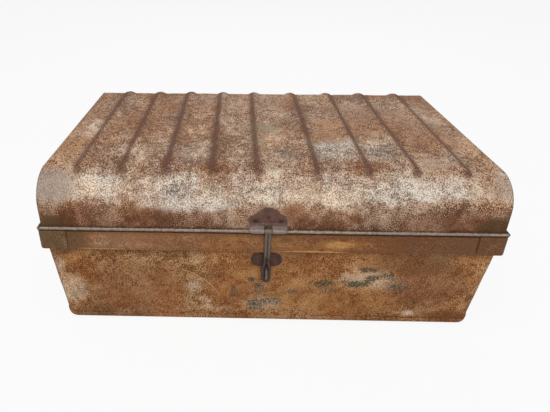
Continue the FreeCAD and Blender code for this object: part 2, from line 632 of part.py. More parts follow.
def staple_plate():
    """Plate round the staple's legs: two upper lobes that taper to a small foot lobe."""
    lobes = [disc(x, z, radius, FITTING_PLATE) for x, z, radius in LOBES]
    side = LOBE_SPREAD + LOBE_TAPER_SHARE * LOBE_RADIUS
    corner = LOBE_RISE - LOBE_TAPER_SHARE * LOBE_RADIUS
    crown = LOBE_RISE + LOBE_TAPER_SHARE * LOBE_RADIUS
    lobes.append(bounded_face(
        Vector(-FOOT_LOBE_RADIUS, 0, -FOOT_LOBE_DROP), Vector(FOOT_LOBE_RADIUS, 0, -FOOT_LOBE_DROP),
        Vector(side, 0, corner), Vector(LOBE_SPREAD, 0, crown), Vector(-LOBE_SPREAD, 0, crown),
        Vector(-side, 0, corner)).extrude(Vector(0, -FITTING_PLATE, 0)))
    leg_radius = STAPLE_WIRE_RADIUS + PIN_CLEARANCE
    legs = [disc(0, sign * STAPLE_HEIGHT / 2, leg_radius, FITTING_PLATE) for sign in (-1, 1)]
    return placed(fused(lobes).cut(Part.makeCompound(legs)), staple_plate_place())


def staple_plate_rivet_places():
    """Rivets of the lobed plate: one in each upper lobe and one in the lower."""
    place = staple_plate_place()
    return [place.multiply(Placement(Vector(x, -FITTING_PLATE, z), Rotation())) for x, z, _ in LOBES]


def staple_projection():
    """Wall face to the centre of the staple's bow."""
    hasp_front = -hasp_loop_y() + HASP_WIRE_RADIUS
    return hasp_front + STAPLE_EYE + STAPLE_WIRE_RADIUS - wall_half_depth(STAPLE_Z)


def hasp_staple():
    """Upright wire staple through the lobed plate and the wall, clinched inside."""
    leg = STAPLE_HEIGHT / 2
    out = -staple_projection()
    inside = SHEET + 2 * STAPLE_WIRE_RADIUS
    path = [Vector(0, inside, -leg), Vector(0, out, -leg), Vector(0, out, leg), Vector(0, inside, leg)]
    return placed(bent_rod(path, leg, STAPLE_WIRE_RADIUS), staple_plate_place())


def staple_holes():
    """Cutting bodies of the staple's legs through the wall."""
    reach = 2 * STAPLE_WIRE_RADIUS + SHEET
    radius = STAPLE_WIRE_RADIUS + PIN_CLEARANCE
    starts = [Vector(0, -SHEET, sign * STAPLE_HEIGHT / 2) for sign in (-1, 1)]
    holes = [Part.makeCylinder(radius, reach, start, Y_AXIS) for start in starts]
    return placed(Part.makeCompound(holes), staple_plate_place())


# Hinges

def knuckle_spans():
    """Ends of the three knuckles along the hinge."""
    third = HINGE_WIDTH / 3
    half_gap = SIDE_CLEARANCE / 2
    return [(-HINGE_WIDTH / 2, -third / 2 - half_gap), (-third / 2 + half_gap, third / 2 - half_gap),
            (third / 2 + half_gap, HINGE_WIDTH / 2)]


def hinge_leaf(section, spans, blocked):
    """Leaf with the knuckles of `spans`, cut clear of the other leaf's knuckles in `blocked`."""
    half = HINGE_WIDTH / 2
    leaf = section.translated(Vector(-half, 0, 0)).extrude(Vector(HINGE_WIDTH, 0, 0))
    for low, high in blocked:
        start = Vector(low - SIDE_CLEARANCE, 0, 0)
        leaf = leaf.cut(Part.makeCylinder(KNUCKLE_RADIUS + SIDE_CLEARANCE, high - low + 2 * SIDE_CLEARANCE,
                                          start, X_AXIS))
    knuckles = [Part.makeCylinder(KNUCKLE_RADIUS, high - low, Vector(low, 0, 0), X_AXIS)
                for low, high in spans]
    bore = Part.makeCylinder(HINGE_PIN_RADIUS + PIN_CLEARANCE, HINGE_WIDTH, Vector(-half, 0, 0), X_AXIS)
    return fused([leaf, *knuckles]).cut(bore)


def hinge_base_leaf():
    """Leaf on the collar's back strip, drawn about the hinge axis with the trunk toward -Y."""
    seat = HALF_DEPTH - SHEET - LAP_GAP - HINGE_Y
    skin = seat + FITTING_PLATE
    section = bounded_face(Vector(0, seat, 0), Vector(0, skin, 0),
                           Vector(0, skin, -HINGE_LEAF_DROP), Vector(0, seat, -HINGE_LEAF_DROP))
    first, middle, last = knuckle_spans()
    return hinge_leaf(section, (first, last), (middle,))


def hinge_lid_leaf():
    """Leaf that rises outside the rolled edge, turns in and lies on the lid's back."""
    outer = HALF_DEPTH - HINGE_Y + SEAT_GAP
    seat = LID_HALF_DEPTH - HINGE_Y
    section = bounded_face(
        Vector(0, outer, 0), Vector(0, outer, JOGGLE_LOW_RISE), Vector(0, seat, JOGGLE_HIGH_RISE),
        Vector(0, seat, HINGE_LEAF_RISE), Vector(0, seat + FITTING_PLATE, HINGE_LEAF_RISE),
        Vector(0, seat + FITTING_PLATE, JOGGLE_HIGH_RISE), Vector(0, outer + FITTING_PLATE, JOGGLE_LOW_RISE),
        Vector(0, outer + FITTING_PLATE, 0))
    first, middle, last = knuckle_spans()
    return hinge_leaf(section, (middle,), (first, last))


def hinge_pin():
    """Pin of one hinge."""
    return Part.makeCylinder(HINGE_PIN_RADIUS, HINGE_WIDTH, Vector(-HINGE_WIDTH / 2, 0, 0), X_AXIS)


def at_hinge(shape, x):
    """Hinge piece moved onto the hinge axis."""
    return shape.translated(Vector(x, HINGE_Y, HINGE_Z))


def hinge_rivet_places(half, rise):
    """Two rivets of each leaf on the back, at a height above the hinge axis."""
    return [face_place(BACK, sign * HINGE_SPREAD + spread, half, HINGE_Z + rise)
            for sign in (-1, 1) for spread in (-HINGE_RIVET_SPREAD, HINGE_RIVET_SPREAD)]


# Handles

def handle_seat(side):
    """Place of a handle on an end panel."""
    half = wall_half_width(HANDLE_HEIGHT) - SHEET - LAP_GAP
    return face_place(side, 0, half, HANDLE_HEIGHT, WALL_LEAN)


def handle_plate():
    """Long plate with round ends behind a handle."""
    radius = HANDLE_PLATE_HEIGHT / 2
    reach = HANDLE_PLATE_LENGTH / 2 - radius
    middle = box_between(Vector(-reach, -FITTING_PLATE, -radius), Vector(reach, 0, radius))
    return fused([middle, disc(-reach, 0, radius, FITTING_PLATE), disc(reach, 0, radius, FITTING_PLATE)])


def handle_lugs():
    """Two bored lugs that carry the bail, standing on the plate."""
    radius = BAIL_RADIUS + PIN_CLEARANCE + LUG_WALL
    axis_y = -FITTING_PLATE - LUG_STANDOFF
    lugs = []
    for sign in (-1, 1):
        x = sign * LUG_SPREAD - LUG_LENGTH / 2
        eye = Part.makeCylinder(radius, LUG_LENGTH, Vector(x, axis_y, 0), X_AXIS)
        neck = box_between(Vector(x, axis_y, -radius), Vector(x + LUG_LENGTH, -FITTING_PLATE, radius))
        bore = Part.makeCylinder(BAIL_RADIUS + PIN_CLEARANCE, LUG_LENGTH, Vector(x, axis_y, 0), X_AXIS)
        lugs.append(fused([eye, neck]).cut(bore))
    return Part.makeCompound(lugs)


def handle_bail():
    """Round bail: journals in the lugs, two legs and a grip that stands a little off the wall."""
    axis_y = -FITTING_PLATE - LUG_STANDOFF
    tip = LUG_SPREAD + LUG_LENGTH / 2
    leg = LUG_SPREAD - LUG_LENGTH / 2 - SIDE_CLEARANCE - BAIL_BEND_RADIUS
    grip_y = axis_y - BAIL_GRIP_BOW
    path = [Vector(-tip, axis_y, 0), Vector(-leg, axis_y, 0), Vector(-leg, grip_y, -BAIL_DROP),
            Vector(leg, grip_y, -BAIL_DROP), Vector(leg, axis_y, 0), Vector(tip, axis_y, 0)]
    return bent_rod(path, BAIL_BEND_RADIUS, BAIL_RADIUS)


def handle_rivet_places():
    """Four rivets of each handle plate."""
    places = []
    for side in (LEFT, RIGHT):
        for x in (-HANDLE_RIVET_SPREAD, HANDLE_RIVET_SPREAD):
            for z in (-HANDLE_RIVET_RISE, HANDLE_RIVET_RISE):
                spot = Placement(Vector(x, -FITTING_PLATE, z), Rotation())
                places.append(handle_seat(side).multiply(spot))
    return places


# Assembly

def base_nodes():
    """Pieces that stand still."""
    seam_rivets, seam_holes = riveted(seam_places(), 2 * SHEET + LAP_GAP)
    long_places, short_places = collar_rivet_places()
    long_rivets, long_holes = riveted(long_places, 2 * SHEET + LAP_GAP)
    short_rivets, short_holes = riveted(short_places, 3 * SHEET + 2 * LAP_GAP)
    plate_rivets, plate_holes = riveted(staple_plate_rivet_places(), FITTING_PLATE + SHEET)
    handle_rivets, handle_holes = riveted(handle_rivet_places(), FITTING_PLATE + SHEET)
    leaf_places = hinge_rivet_places(HALF_DEPTH - SHEET - LAP_GAP + FITTING_PLATE, -HINGE_RIVET_DROP)
    leaf_rivets, leaf_holes = riveted(leaf_places, FITTING_PLATE + SHEET)

    far = Vector(TRUNK_WIDTH, TRUNK_DEPTH, TRUNK_WIDTH)
    front_half = box_between(-far, Vector(far.x, -wall_half_depth(WALL_BOTTOM) + CORNER_RETURN, far.z))
    end_half = wall_half_depth(WALL_BOTTOM) - WALL_CORNER_RADIUS
    right_half = box_between(Vector(0, -end_half, -far.z), Vector(far.x, end_half, far.z))
    long_sheet = wall_sheet(0).common(front_half)
    end_sheet = wall_sheet(SHEET + LAP_GAP).common(right_half)
    long_cuts = [seam_holes, long_holes]
    end_cuts = [seam_holes, short_holes, handle_holes]
    wrap = collar_wrap()
    strip = collar_strip()
    half_turn = Placement(ORIGIN, Rotation(Z_AXIS, 180))
    nodes = {
        "bottom_pan": bottom_pan(),
        "front_panel": long_sheet.cut([*long_cuts, plate_holes, staple_holes()]),
        "back_panel": placed(long_sheet, half_turn).cut(long_cuts),
        "left_end_panel": mirrored(end_sheet).cut(end_cuts),
        "right_end_panel": end_sheet.cut(end_cuts),
        "base_seam_rivets": seam_rivets,
        "collar_front_strip": strip.cut([long_holes]),
        "collar_back_strip": placed(strip, half_turn).cut([long_holes, leaf_holes]),
        "collar_left_wrap": mirrored(wrap).cut([short_holes]),
        "collar_right_wrap": wrap.cut([short_holes]),
        "collar_rivets": Part.makeCompound([long_rivets, short_rivets]),
        "staple_plate": staple_plate().cut([plate_holes]),
        "hasp_staple": hasp_staple(),
        "staple_plate_rivets": plate_rivets,
        "handle_plate_rivets": handle_rivets,
        "hinge_base_rivets": leaf_rivets,
    }
    for name, side, x in (("left", LEFT, -HINGE_SPREAD), ("right", RIGHT, HINGE_SPREAD)):
        nodes[name + "_handle_plate"] = placed(handle_plate(), handle_seat(side)).cut([handle_holes])
        nodes[name + "_handle_lugs"] = placed(handle_lugs(), handle_seat(side))
        nodes[name + "_hinge_base_leaf"] = at_hinge(hinge_base_leaf(), x).cut([leaf_holes])
        nodes[name + "_hinge_pin"] = at_hinge(hinge_pin(), x)
    return nodes


def lid_nodes():
    """Pieces that turn with the lid."""
    plate_rivets, plate_holes = riveted(hasp_plate_places(), FITTING_PLATE + SHEET)
    leaf_places = hinge_rivet_places(LID_HALF_DEPTH + FITTING_PLATE, HINGE_RIVET_RISE)
    leaf_rivets, leaf_holes = riveted(leaf_places, FITTING_PLATE + SHEET)
    end = lid_end()
    nodes = {
        "lid_skin": lid_skin().cut([plate_holes, leaf_holes]),
        "lid_left_end": mirrored(end),
        "lid_right_end": end,
        "lid_edge_wire": lid_edge_wire(),
        "hasp_plate": hasp_plate().cut([plate_holes]),
        "hasp_pivot_pin": hasp_pivot_pin(),
        "hasp_plate_rivets": plate_rivets,
        "hinge_lid_rivets": leaf_rivets,
    }
    for name, x in (("left", -HINGE_SPREAD), ("right", HINGE_SPREAD)):
        nodes[name + "_hinge_lid_leaf"] = at_hinge(hinge_lid_leaf(), x).cut([leaf_holes])
    return nodes


def swinging_nodes():
    """Pieces that swing by themselves: the hasp and the two handles."""
    nodes = {"hasp_loop": hasp_loop()}
    for name, side in (("left", LEFT), ("right", RIGHT)):
        nodes[name + "_handle_bail"] = placed(handle_bail(), handle_seat(side))
    return nodes


def main():
    """Build every node and write it to its own file."""
    os.makedirs("parts", exist_ok=True)
    for name, shape in {**base_nodes(), **lid_nodes(), **swinging_nodes()}.items():
        shape.exportStep("parts/" + name + ".step")
        print(name, len(shape.Solids), shape.isValid(), round(shape.Volume))


main()
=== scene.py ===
"""Looks of an old sheet-iron travelling trunk with a fluted lid, a collar and a wire hasp."""
import logging
import math
from dataclasses import dataclass, replace
from enum import Enum
from functools import cached_property
from typing import Callable, Sequence

import bmesh
import bpy
import numpy as np
from mathutils import Matrix, Vector, noise


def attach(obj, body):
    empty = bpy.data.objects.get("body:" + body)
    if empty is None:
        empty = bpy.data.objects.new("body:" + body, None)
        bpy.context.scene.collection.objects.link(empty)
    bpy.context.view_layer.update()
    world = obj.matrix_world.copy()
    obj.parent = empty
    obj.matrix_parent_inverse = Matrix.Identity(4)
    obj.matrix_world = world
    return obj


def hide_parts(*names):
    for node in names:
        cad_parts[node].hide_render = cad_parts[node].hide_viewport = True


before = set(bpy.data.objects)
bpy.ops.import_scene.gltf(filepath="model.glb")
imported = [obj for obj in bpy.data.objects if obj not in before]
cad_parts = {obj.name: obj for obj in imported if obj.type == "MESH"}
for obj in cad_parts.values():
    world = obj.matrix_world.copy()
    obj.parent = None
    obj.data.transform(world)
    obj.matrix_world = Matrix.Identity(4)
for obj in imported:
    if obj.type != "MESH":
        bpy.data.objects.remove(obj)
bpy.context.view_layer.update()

Point = tuple[float, float, float]
Colour = tuple[float, float, float]
Band = tuple[float, float]
Mesh = bmesh.types.BMesh
Piece = bpy.types.Object
Material = bpy.types.Material
Socket = bpy.types.NodeSocket

LOG = logging.getLogger("trunk")
PHOTO_WIDTH = 550.0
PHOTO_HEIGHT = 412.0
SHEET = 0.001
LAP_GAP = 0.00005
TINY = 1e-6
HAIR = 1e-5
RELIEF = 0.0012
WEIGHTS = (-1.5, 2.0)
LID_FACE = 0.235
WALL_FOOT = 0.2240
WALL_SLOPE = 0.0755814
X_AXIS = (1.0, 0.0, 0.0)
Z_AXIS = (0.0, 0.0, 1.0)
TO_FRONT = (0.0, -1.0, 0.0)


class Side(Enum):
    """The two ends of the trunk."""
    LEFT = -1
    RIGHT = 1


class Face(Enum):
    """The two long sides of the trunk."""
    FRONT = -1
    BACK = 1


class Tone(Enum):
    """Kinds of wear that lie over a sheet, each painted as a vertex weight of its own; in places SHADE, PLUM
    and DARK also carry painted shade, and CREAM, VEIL, ORANGE and BARE a painted highlight.
    """
    CREAM = "cream"
    SHADE = "shade"
    DARK = "dark"
    RED = "red"
    ORANGE = "orange"
    SLATE = "slate"
    VEIL = "veil"
    OLIVE = "olive"
    PLUM = "plum"
    BARE = "bare"


@dataclass(frozen=True)
class Stain:
    """A soft-edged patch of one tone on a sheet.

    Args:
        tone: What the patch is made of.
        at: Its middle.
        reach: How far it spreads along each axis.
        strength: Weight in its middle, below zero where it thins the tone.
        core: Share of its reach over which it keeps that weight.
    """
    tone: Tone
    at: Point
    reach: Point
    strength: float = 1.0
    core: float = 0.25

    def weight(self, places: np.ndarray) -> np.ndarray:
        """Weight of the patch at each place."""
        far = np.linalg.norm((places - np.array(self.at)) / np.array(self.reach), axis=1)
        return self.strength * (1.0 - ramp(far, self.core, 1.0))


@dataclass(frozen=True)
class Scratch:
    """A thin mark on the front: part of a circle in the upright plane, or a dot where its radius is 0."""
    colour: Colour
    centre: Point
    radius: float
    middle: Point
    half_length: float
    width: float = 0.0011
    cover: float = 0.8


@dataclass(frozen=True)
class Layer:
    """How one tone lies over the rust.

    Args:
        colour: Its colour.
        cover: How far it hides what is below.
        ragged: How strongly its edge is broken up.
        specks: Whether it lies as separate specks.
        soft: Width of its edge, as a share of the painted weight.
    """
    colour: Colour
    cover: float = 0.8
    ragged: float = 1.0
    specks: bool = False
    soft: float = 0.24


def ramp(value: np.ndarray, low: float, high: float) -> np.ndarray:
    """Smooth rise from 0 at low to 1 at high."""
    share = np.clip((value - low) / (high - low), 0.0, 1.0)
    return share * share * (3.0 - 2.0 * share)


@dataclass(frozen=True)
class Dent:
    """A layer of soft random dents.

    Args:
        depth: Greatest height or depth.
        size: Length of one dent.
        seed: Which pattern.
        share: Share of the large dents, the rest being finer ones.
        finer: How many times finer those are.
    """
    depth: float
    size: float
    seed: float
    share: float = 0.7
    finer: float = 2.3

    def at(self, place: Vector, seed: float = 0.0) -> float:
        """Height at a place, in the pattern that a further seed gives.

        Args:
            place: Where on the sheet.
            seed: Added to the layer's own seed.

        Returns:
            The height.
        """
        spot = place / self.size + (self.seed + seed) * Vector((1.0, 2.0, 3.0))
        small = (1.0 - self.share) * noise.noise(self.finer * spot)
        return self.depth * (self.share * noise.noise(spot) + small)


@dataclass(frozen=True)
class Pattern:
    """A cloudy pattern in a finish.

    Args:
        scale: Bumps in a metre, or in the length of a grain.
        detail: How many finer layers it has.
        rough: Share of the finer layers.
        shift: Which part of the noise.
    """
    scale: float
    detail: float
    rough: float
    shift: float


def clamp(value: float) -> float:
    """A value held between 0 and 1."""
    return max(0.0, min(1.0, value))


class Graph:
    """Short hand for building the nodes of a material or a world."""

    def __init__(self, owner: Material | bpy.types.World) -> None:
        """Empties the owner's nodes.

        Args:
            owner: The material or the world.
        """
        owner.use_nodes = True
        self.owner = owner
        self.tree = owner.node_tree
        self.tree.nodes.clear()

    @cached_property
    def place(self) -> Socket:
        """The piece's own coordinates."""
        return self.add("ShaderNodeTexCoord").outputs["Object"]

    def add(self, kind: str, **settings: object) -> bpy.types.Node:
        """Adds a node and sets its plain properties.

        Args:
            kind: Type of the node.
            settings: Its plain properties.

        Returns:
            The node.
        """
        node = self.tree.nodes.new(kind)
        for key, value in settings.items():
            setattr(node, key, value)
        return node

    def put(self, socket: Socket, value: object) -> None:
        """Links a socket to another, or sets its value.

        Args:
            socket: The input.
            value: A socket, a number, a vector or a colour.
        """
        if isinstance(value, bpy.types.NodeSocket):
            self.tree.links.new(value, socket)
        elif isinstance(value, tuple) and socket.type == "RGBA":
            socket.default_value = (*value, 1.0)
        else:
            socket.default_value = value

    def fill(self, kind: str, **values: object) -> Socket:
        """Adds a node and fills its inputs by name.

        Args:
            kind: Type of the node.
            values: Its inputs.

        Returns:
            Its first output.
        """
        node = self.add(kind)
        for name, value in values.items():
            self.put(node.inputs[name], value)
        return node.outputs[0]

    def noise(self, pattern: Pattern, stretch: Point = (1.0, 1.0, 1.0), grain: float = 1.0) -> Socket:
        """A pattern in the piece's own coordinates.

        Args:
            pattern: Which pattern.
            stretch: Scale along each axis.
            grain: Grains in a metre, where the pattern's scale is in grains.

        Returns:
            The pattern's value, zero on average.
        """
        shift = tuple(pattern.shift * way for way in (1.0, 1.7, 2.3))
        spot = self.fill("ShaderNodeMapping", Vector=self.place, Location=shift, Scale=stretch)
        value = self.fill("ShaderNodeTexNoise", Vector=spot, Scale=grain * pattern.scale,
                          Detail=pattern.detail, Roughness=pattern.rough)
        return self.math("SUBTRACT", value, 0.5)

    def math(self, kind: str, *values: object) -> Socket:
        """Arithmetic on sockets or numbers.

        Args:
            kind: The operation.
            values: What it works on.

        Returns:
            The result.
        """
        node = self.add("ShaderNodeMath", operation=kind)
        for socket, value in zip(node.inputs, values):
            self.put(socket, value)
        return node.outputs[0]

    def total(self, start: float, *terms: tuple[Socket, float]) -> Socket:
        """A number plus a weighted sum of (socket, share) terms.

        Args:
            start: The number.
            terms: The terms.

        Returns:
            The sum.
        """
        result: object = start
        for value, share in terms:
            result = self.math("MULTIPLY_ADD", value, share, result)
        return result

    def step(self, value: object, low: object, high: object, bottom: float = 0.0,
             top: float = 1.0) -> Socket:
        """Smooth change from bottom to top while the value goes from low to high.

        Args:
            value: What is compared.
            low: Where the change starts.
            high: Where it ends.
            bottom: Result before it.
            top: Result after it.

        Returns:
            The result.
        """
        node = self.add("ShaderNodeMapRange", interpolation_type="SMOOTHSTEP")
        names = ("Value", "From Min", "From Max", "To Min", "To Max")
        for name, item in zip(names, (value, low, high, bottom, top)):
            self.put(node.inputs[name], item)
        return node.outputs[0]

    def mix(self, share: object, first: object, second: object, blend: str = "MIX") -> Socket:
        """Colour between two colours.

        Args:
            share: Share of the second.
            first: The one below.
            second: The one on top.
            blend: How they combine.

        Returns:
            The colour.
        """
        node = self.add("ShaderNodeMix", data_type="RGBA", blend_type=blend)
        for index, value in ((0, share), (6, first), (7, second)):
            self.put(node.inputs[index], value)
        return node.outputs[2]

    def grey(self, value: Socket) -> Socket:
        """A number as a grey colour.

        Args:
            value: The number.

        Returns:
            The colour.
        """
        node = self.add("ShaderNodeCombineColor")
        for socket in node.inputs:
            self.put(socket, value)
        return node.outputs[0]

    def scale_of(self, value: Socket, colours: Sequence[Colour]) -> Socket:
        """Colour picked from evenly spaced colours by a number from 0 to 1.

        Args:
            value: The number.
            colours: The colours.

        Returns:
            The colour.
        """
        node = self.add("ShaderNodeValToRGB")
        stops = node.color_ramp.elements
        while len(stops) < len(colours):
            stops.new(0.5)
        for index, colour in enumerate(colours):
            stops[index].position = index / (len(colours) - 1)
            stops[index].color = (*colour, 1.0)
        self.put(node.inputs[0], value)
        return node.outputs[0]

    def weight(self, tone: Tone) -> Socket:
        """A tone's painted vertex weight."""
        return self.add("ShaderNodeAttribute", attribute_name=tone.value).outputs["Fac"]

    def axes(self) -> tuple[Socket, Socket, Socket]:
        """The three coordinates on their own.

        Returns:
            x, y and z.
        """
        node = self.add("ShaderNodeSeparateXYZ")
        self.put(node.inputs[0], self.place)
        return tuple(node.outputs)

    def distance(self, point: Point, scale: Point = (1.0, 1.0, 1.0)) -> Socket:
        """Distance from a point, with each axis scaled.

        Args:
            point: From where.
            scale: Scale of each axis.

        Returns:
            The distance.
        """
        spot = self.add("ShaderNodeVectorMath", operation="MULTIPLY")
        self.put(spot.inputs[0], self.place)
        spot.inputs[1].default_value = scale
        node = self.add("ShaderNodeVectorMath", operation="DISTANCE")
        self.put(node.inputs[0], spot.outputs[0])
        node.inputs[1].default_value = tuple(p * s for p, s in zip(point, scale))
        return node.outputs["Value"]

    def finish(self, colour: Socket, rough: Socket, metal: Socket, height: Socket, bump: float,
               specular: float) -> Material:
        """Ends the material in one shader.

        Args:
            colour: Base colour.
            rough: Roughness.
            metal: Metallic share.
            height: Height of the fine relief.
            bump: Strength of that relief.
            specular: Specular level.

        Returns:
            The material.
        """
        relief = self.fill("ShaderNodeBump", Strength=bump, Distance=RELIEF, Height=height)
        shader = self.fill("ShaderNodeBsdfPrincipled", Roughness=rough, Metallic=metal, Normal=relief,
                           **{"Base Color": colour, "Specular IOR Level": specular})
        self.end("ShaderNodeOutputMaterial", shader)
        return self.owner

    def blend(self, share: Socket, first: Socket, second: Socket) -> Socket:
        """Shader between two shaders.

        Args:
            share: Share of the second.
            first: The one.
            second: The other.

        Returns:
            The shader.
        """
        node = self.add("ShaderNodeMixShader")
        for socket, value in zip(node.inputs, (share, first, second)):
            self.put(socket, value)
        return node.outputs[0]

    def end(self, kind: str, shader: Socket) -> None:
        """Ends the nodes in an output."""
        self.put(self.add(kind).inputs["Surface"], shader)


CLOUD = Pattern(7.0, 4.0, 0.6, 3.1)
HUE = Pattern(13.0, 4.0, 0.6, 13.7)
BLOT = Pattern(30.0, 5.0, 0.62, 7.7)
FLECK = Pattern(85.0, 4.0, 0.65, 4.3)
GRIT = Pattern(1.0, 3.0, 0.66, 1.3)
DUST = Pattern(2.1, 2.0, 0.6, 5.9)
SPECK = Pattern(0.75, 4.0, 0.7, 11.3)
CHIP = Pattern(0.8, 2.0, 0.55, 17.9)
IRON_BLOT = Pattern(70.0, 5.0, 0.65, 2.2)
IRON_GRIT = Pattern(320.0, 5.0, 0.7, 4.1)


@dataclass(frozen=True)
class SheetFinish:
    """Worn paint over rusted sheet iron.

    Args:
        name: Name of the material.
        rust: Colours from the darkest grain to the palest fleck.
        pale: The same where the paint has gone chalky, and where a painted highlight lies along the lid's
            bullnose.
        layers: How each kind of wear lies on it, in the order they are laid.
        contrast: How far the grain spreads over those colours.
        grain: Grains in a metre.
        level: Middle of the spread.
        bump: Strength of the fine relief.
        rough: Roughness.
        specular: Specular level.
        scratches: Thin marks.
        warm: Tint of the warm parts.
        cool: Tint of the cool parts.
        streak: Scale of the larger patches along each axis.
        nap: Scale of the grain along each axis.
        flecks: How far the pale flecks stand out.
    """
    name: str
    rust: tuple[Colour, ...]
    pale: tuple[Colour, ...]
    layers: dict[Tone, Layer]
    contrast: float = 3.6
    grain: float = 200.0
    level: float = 0.5
    bump: float = 0.3
    rough: float = 0.62
    specular: float = 0.2
    scratches: tuple[Scratch, ...] = ()
    warm: Colour = (1.05, 0.98, 0.89)
    cool: Colour = (0.96, 1.01, 1.07)
    streak: Point = (1.0, 1.0, 1.0)
    nap: Point = (1.0, 1.0, 1.0)
    flecks: float = 0.25

    def patch(self, g: Graph, tone: Tone, layer: Layer, noises: Sequence[Socket]) -> Socket:
        """Mask of a tone whose painted edge is broken up by noise, or that lies as specks.

        Args:
            g: Nodes of the finish.
            tone: Which tone.
            layer: How it lies.
            noises: Blot, fleck, grit and speck.

        Returns:
            The mask.
        """
        weight = g.weight(tone)
        blot, fleck, grit, speck = noises
        if layer.specks:
            spread = g.total(-0.62, (weight, 0.6), (speck, 3.2 * layer.ragged), (blot, 1.2 * layer.ragged))
            edge = g.step(spread, -0.06, 0.06)
        else:
            spread = g.total(0.0, (weight, 1.0), (blot, 2.2 * layer.ragged), (fleck, 1.9 * layer.ragged),
                             (grit, 1.5 * layer.ragged))
            edge = g.step(spread, 0.5 - layer.soft / 2.0, 0.5 + layer.soft / 2.0)
        near = g.step(weight, 0.02, 0.22)
        return g.math("MULTIPLY", g.math("MULTIPLY", edge, near), layer.cover)

    def mark(self, g: Graph, scratch: Scratch, dust: Socket) -> Socket:
        """Mask of one scratch, broken by the dust.

        Args:
            g: Nodes of the finish.
            scratch: The scratch.
            dust: What breaks it.

        Returns:
            The mask.
        """
        away = g.distance(scratch.centre, (1.0, 0.0, 1.0))
        off = g.math("ABSOLUTE", g.math("SUBTRACT", away, scratch.radius))
        line = g.step(off, 0.4 * scratch.width, scratch.width, scratch.cover, 0.0)
        along = g.distance(scratch.middle, (1.0, 0.3, 1.0))
        near = g.step(along, 0.7 * scratch.half_length, scratch.half_length, 1.0, 0.0)
        return g.math("MULTIPLY", g.math("MULTIPLY", line, near), g.step(dust, -0.2, 0.05))

    def material(self) -> Material:
        """Builds the nodes.

        Returns:
            The material.
        """
        g = Graph(bpy.data.materials.new(self.name))
        cloud, blot, hue = (g.noise(item, self.streak) for item in (CLOUD, BLOT, HUE))
        grit, dust, speck, chips = (g.noise(item, self.nap, self.grain) for item in (GRIT, DUST, SPECK, CHIP))
        fleck = g.noise(FLECK)
        chip = g.step(chips, 0.08, 0.16)
        # The CREAM weight: chalky paint, and on the lid's bullnose a painted highlight as well.
        chalk_and_sheen = g.weight(Tone.CREAM)
        spread = g.total(0.0, (grit, 1.0), (dust, 0.7), (fleck, 0.34), (blot, 0.31), (cloud, 0.31))
        lively = g.step(g.total(0.0, (blot, 1.0), (cloud, 0.8), (hue, 0.5)), -0.16, 0.16, 0.55, 1.4)
        grain = g.math("MULTIPLY", g.total(0.0, (spread, self.contrast), (chip, self.flecks)), lively)
        # The SHADE weight darkens the paint: darker rust, and on the lid painted shade on the outer flute
        # flanks as well.
        level = g.total(self.level, (grain, 1.0), (chalk_and_sheen, 0.2), (g.weight(Tone.SHADE), -0.25))
        chalk_and_sheen_mix = g.step(g.total(0.0, (chalk_and_sheen, 1.0), (blot, 1.4), (fleck, 0.9)), 0.1, 1.0)
        colour = g.mix(chalk_and_sheen_mix, g.scale_of(level, self.rust), g.scale_of(level, self.pale))
        cooler = g.step(g.total(0.0, (hue, 1.0), (fleck, 0.35), (grit, 0.3)), -0.14, 0.14)
        colour = g.mix(1.0, colour, g.mix(cooler, self.warm, self.cool), "MULTIPLY")
        shade = g.grey(g.total(1.0, (grit, 1.6), (dust, 1.6)))
        masks: dict[Tone, Socket] = {}
        for tone, layer in self.layers.items():
            masks[tone] = self.patch(g, tone, layer, (blot, fleck, grit, speck))
            colour = g.mix(masks[tone], colour, g.mix(1.0, layer.colour, shade, "MULTIPLY"))
        for scratch in self.scratches:
            colour = g.mix(self.mark(g, scratch, dust), colour, scratch.colour)
        bare = masks[Tone.BARE]
        rough = g.total(self.rough, (bare, -0.16), (grit, 0.5), (blot, 0.3))
        height = g.total(0.5, (grit, 1.0), (dust, 0.8), (fleck, 0.4))
        return g.finish(colour, rough, g.math("MULTIPLY", bare, 0.5), height, self.bump, self.specular)


@dataclass(frozen=True)
class IronFinish:
    """Dark oxidised iron of the fittings, rubbed bright over a band of heights.

    Args:
        name: Name of the material.
        dark: Colour in the hollows.
        light: Colour of the thin rust.
        worn: Colour of the rubbed metal.
        rub: Heights where the rubbing starts and where it is full, or none.
        rough: Roughness.
        bump: Strength of the fine relief.
        specular: Specular level.
    """
    name: str
    dark: Colour
    light: Colour
    worn: Colour
    rub: Band | None = None
    rough: float = 0.5
    bump: float = 0.4
    specular: float = 0.3

    def material(self) -> Material:
        """Builds the nodes.

        Returns:
            The material.
        """
        g = Graph(bpy.data.materials.new(self.name))
        blot, grit = g.noise(IRON_BLOT), g.noise(IRON_GRIT)
        colour = g.mix(g.step(g.total(0.0, (blot, 0.6), (grit, 0.4)), -0.1, 0.12), self.dark, self.light)
        worn = g.step(g.total(0.0, (grit, 0.6), (blot, 0.4)), 0.06, 0.2, 0.0, 0.45)
        if self.rub:
            band = g.step(g.total(0.0, (g.axes()[2], 1.0), (blot, 0.008), (grit, 0.006)), *self.rub)
            worn = g.math("MAXIMUM", worn, g.math("MULTIPLY", band, g.total(0.75, (grit, 2.0))))
        colour = g.mix(worn, colour, self.worn)
        rough = g.total(self.rough, (worn, -0.1), (grit, 0.4))
        height = g.total(0.5, (grit, 1.0), (blot, 1.0))
        return g.finish(colour, rough, g.math("MULTIPLY", worn, 0.55), height, self.bump, self.specular)


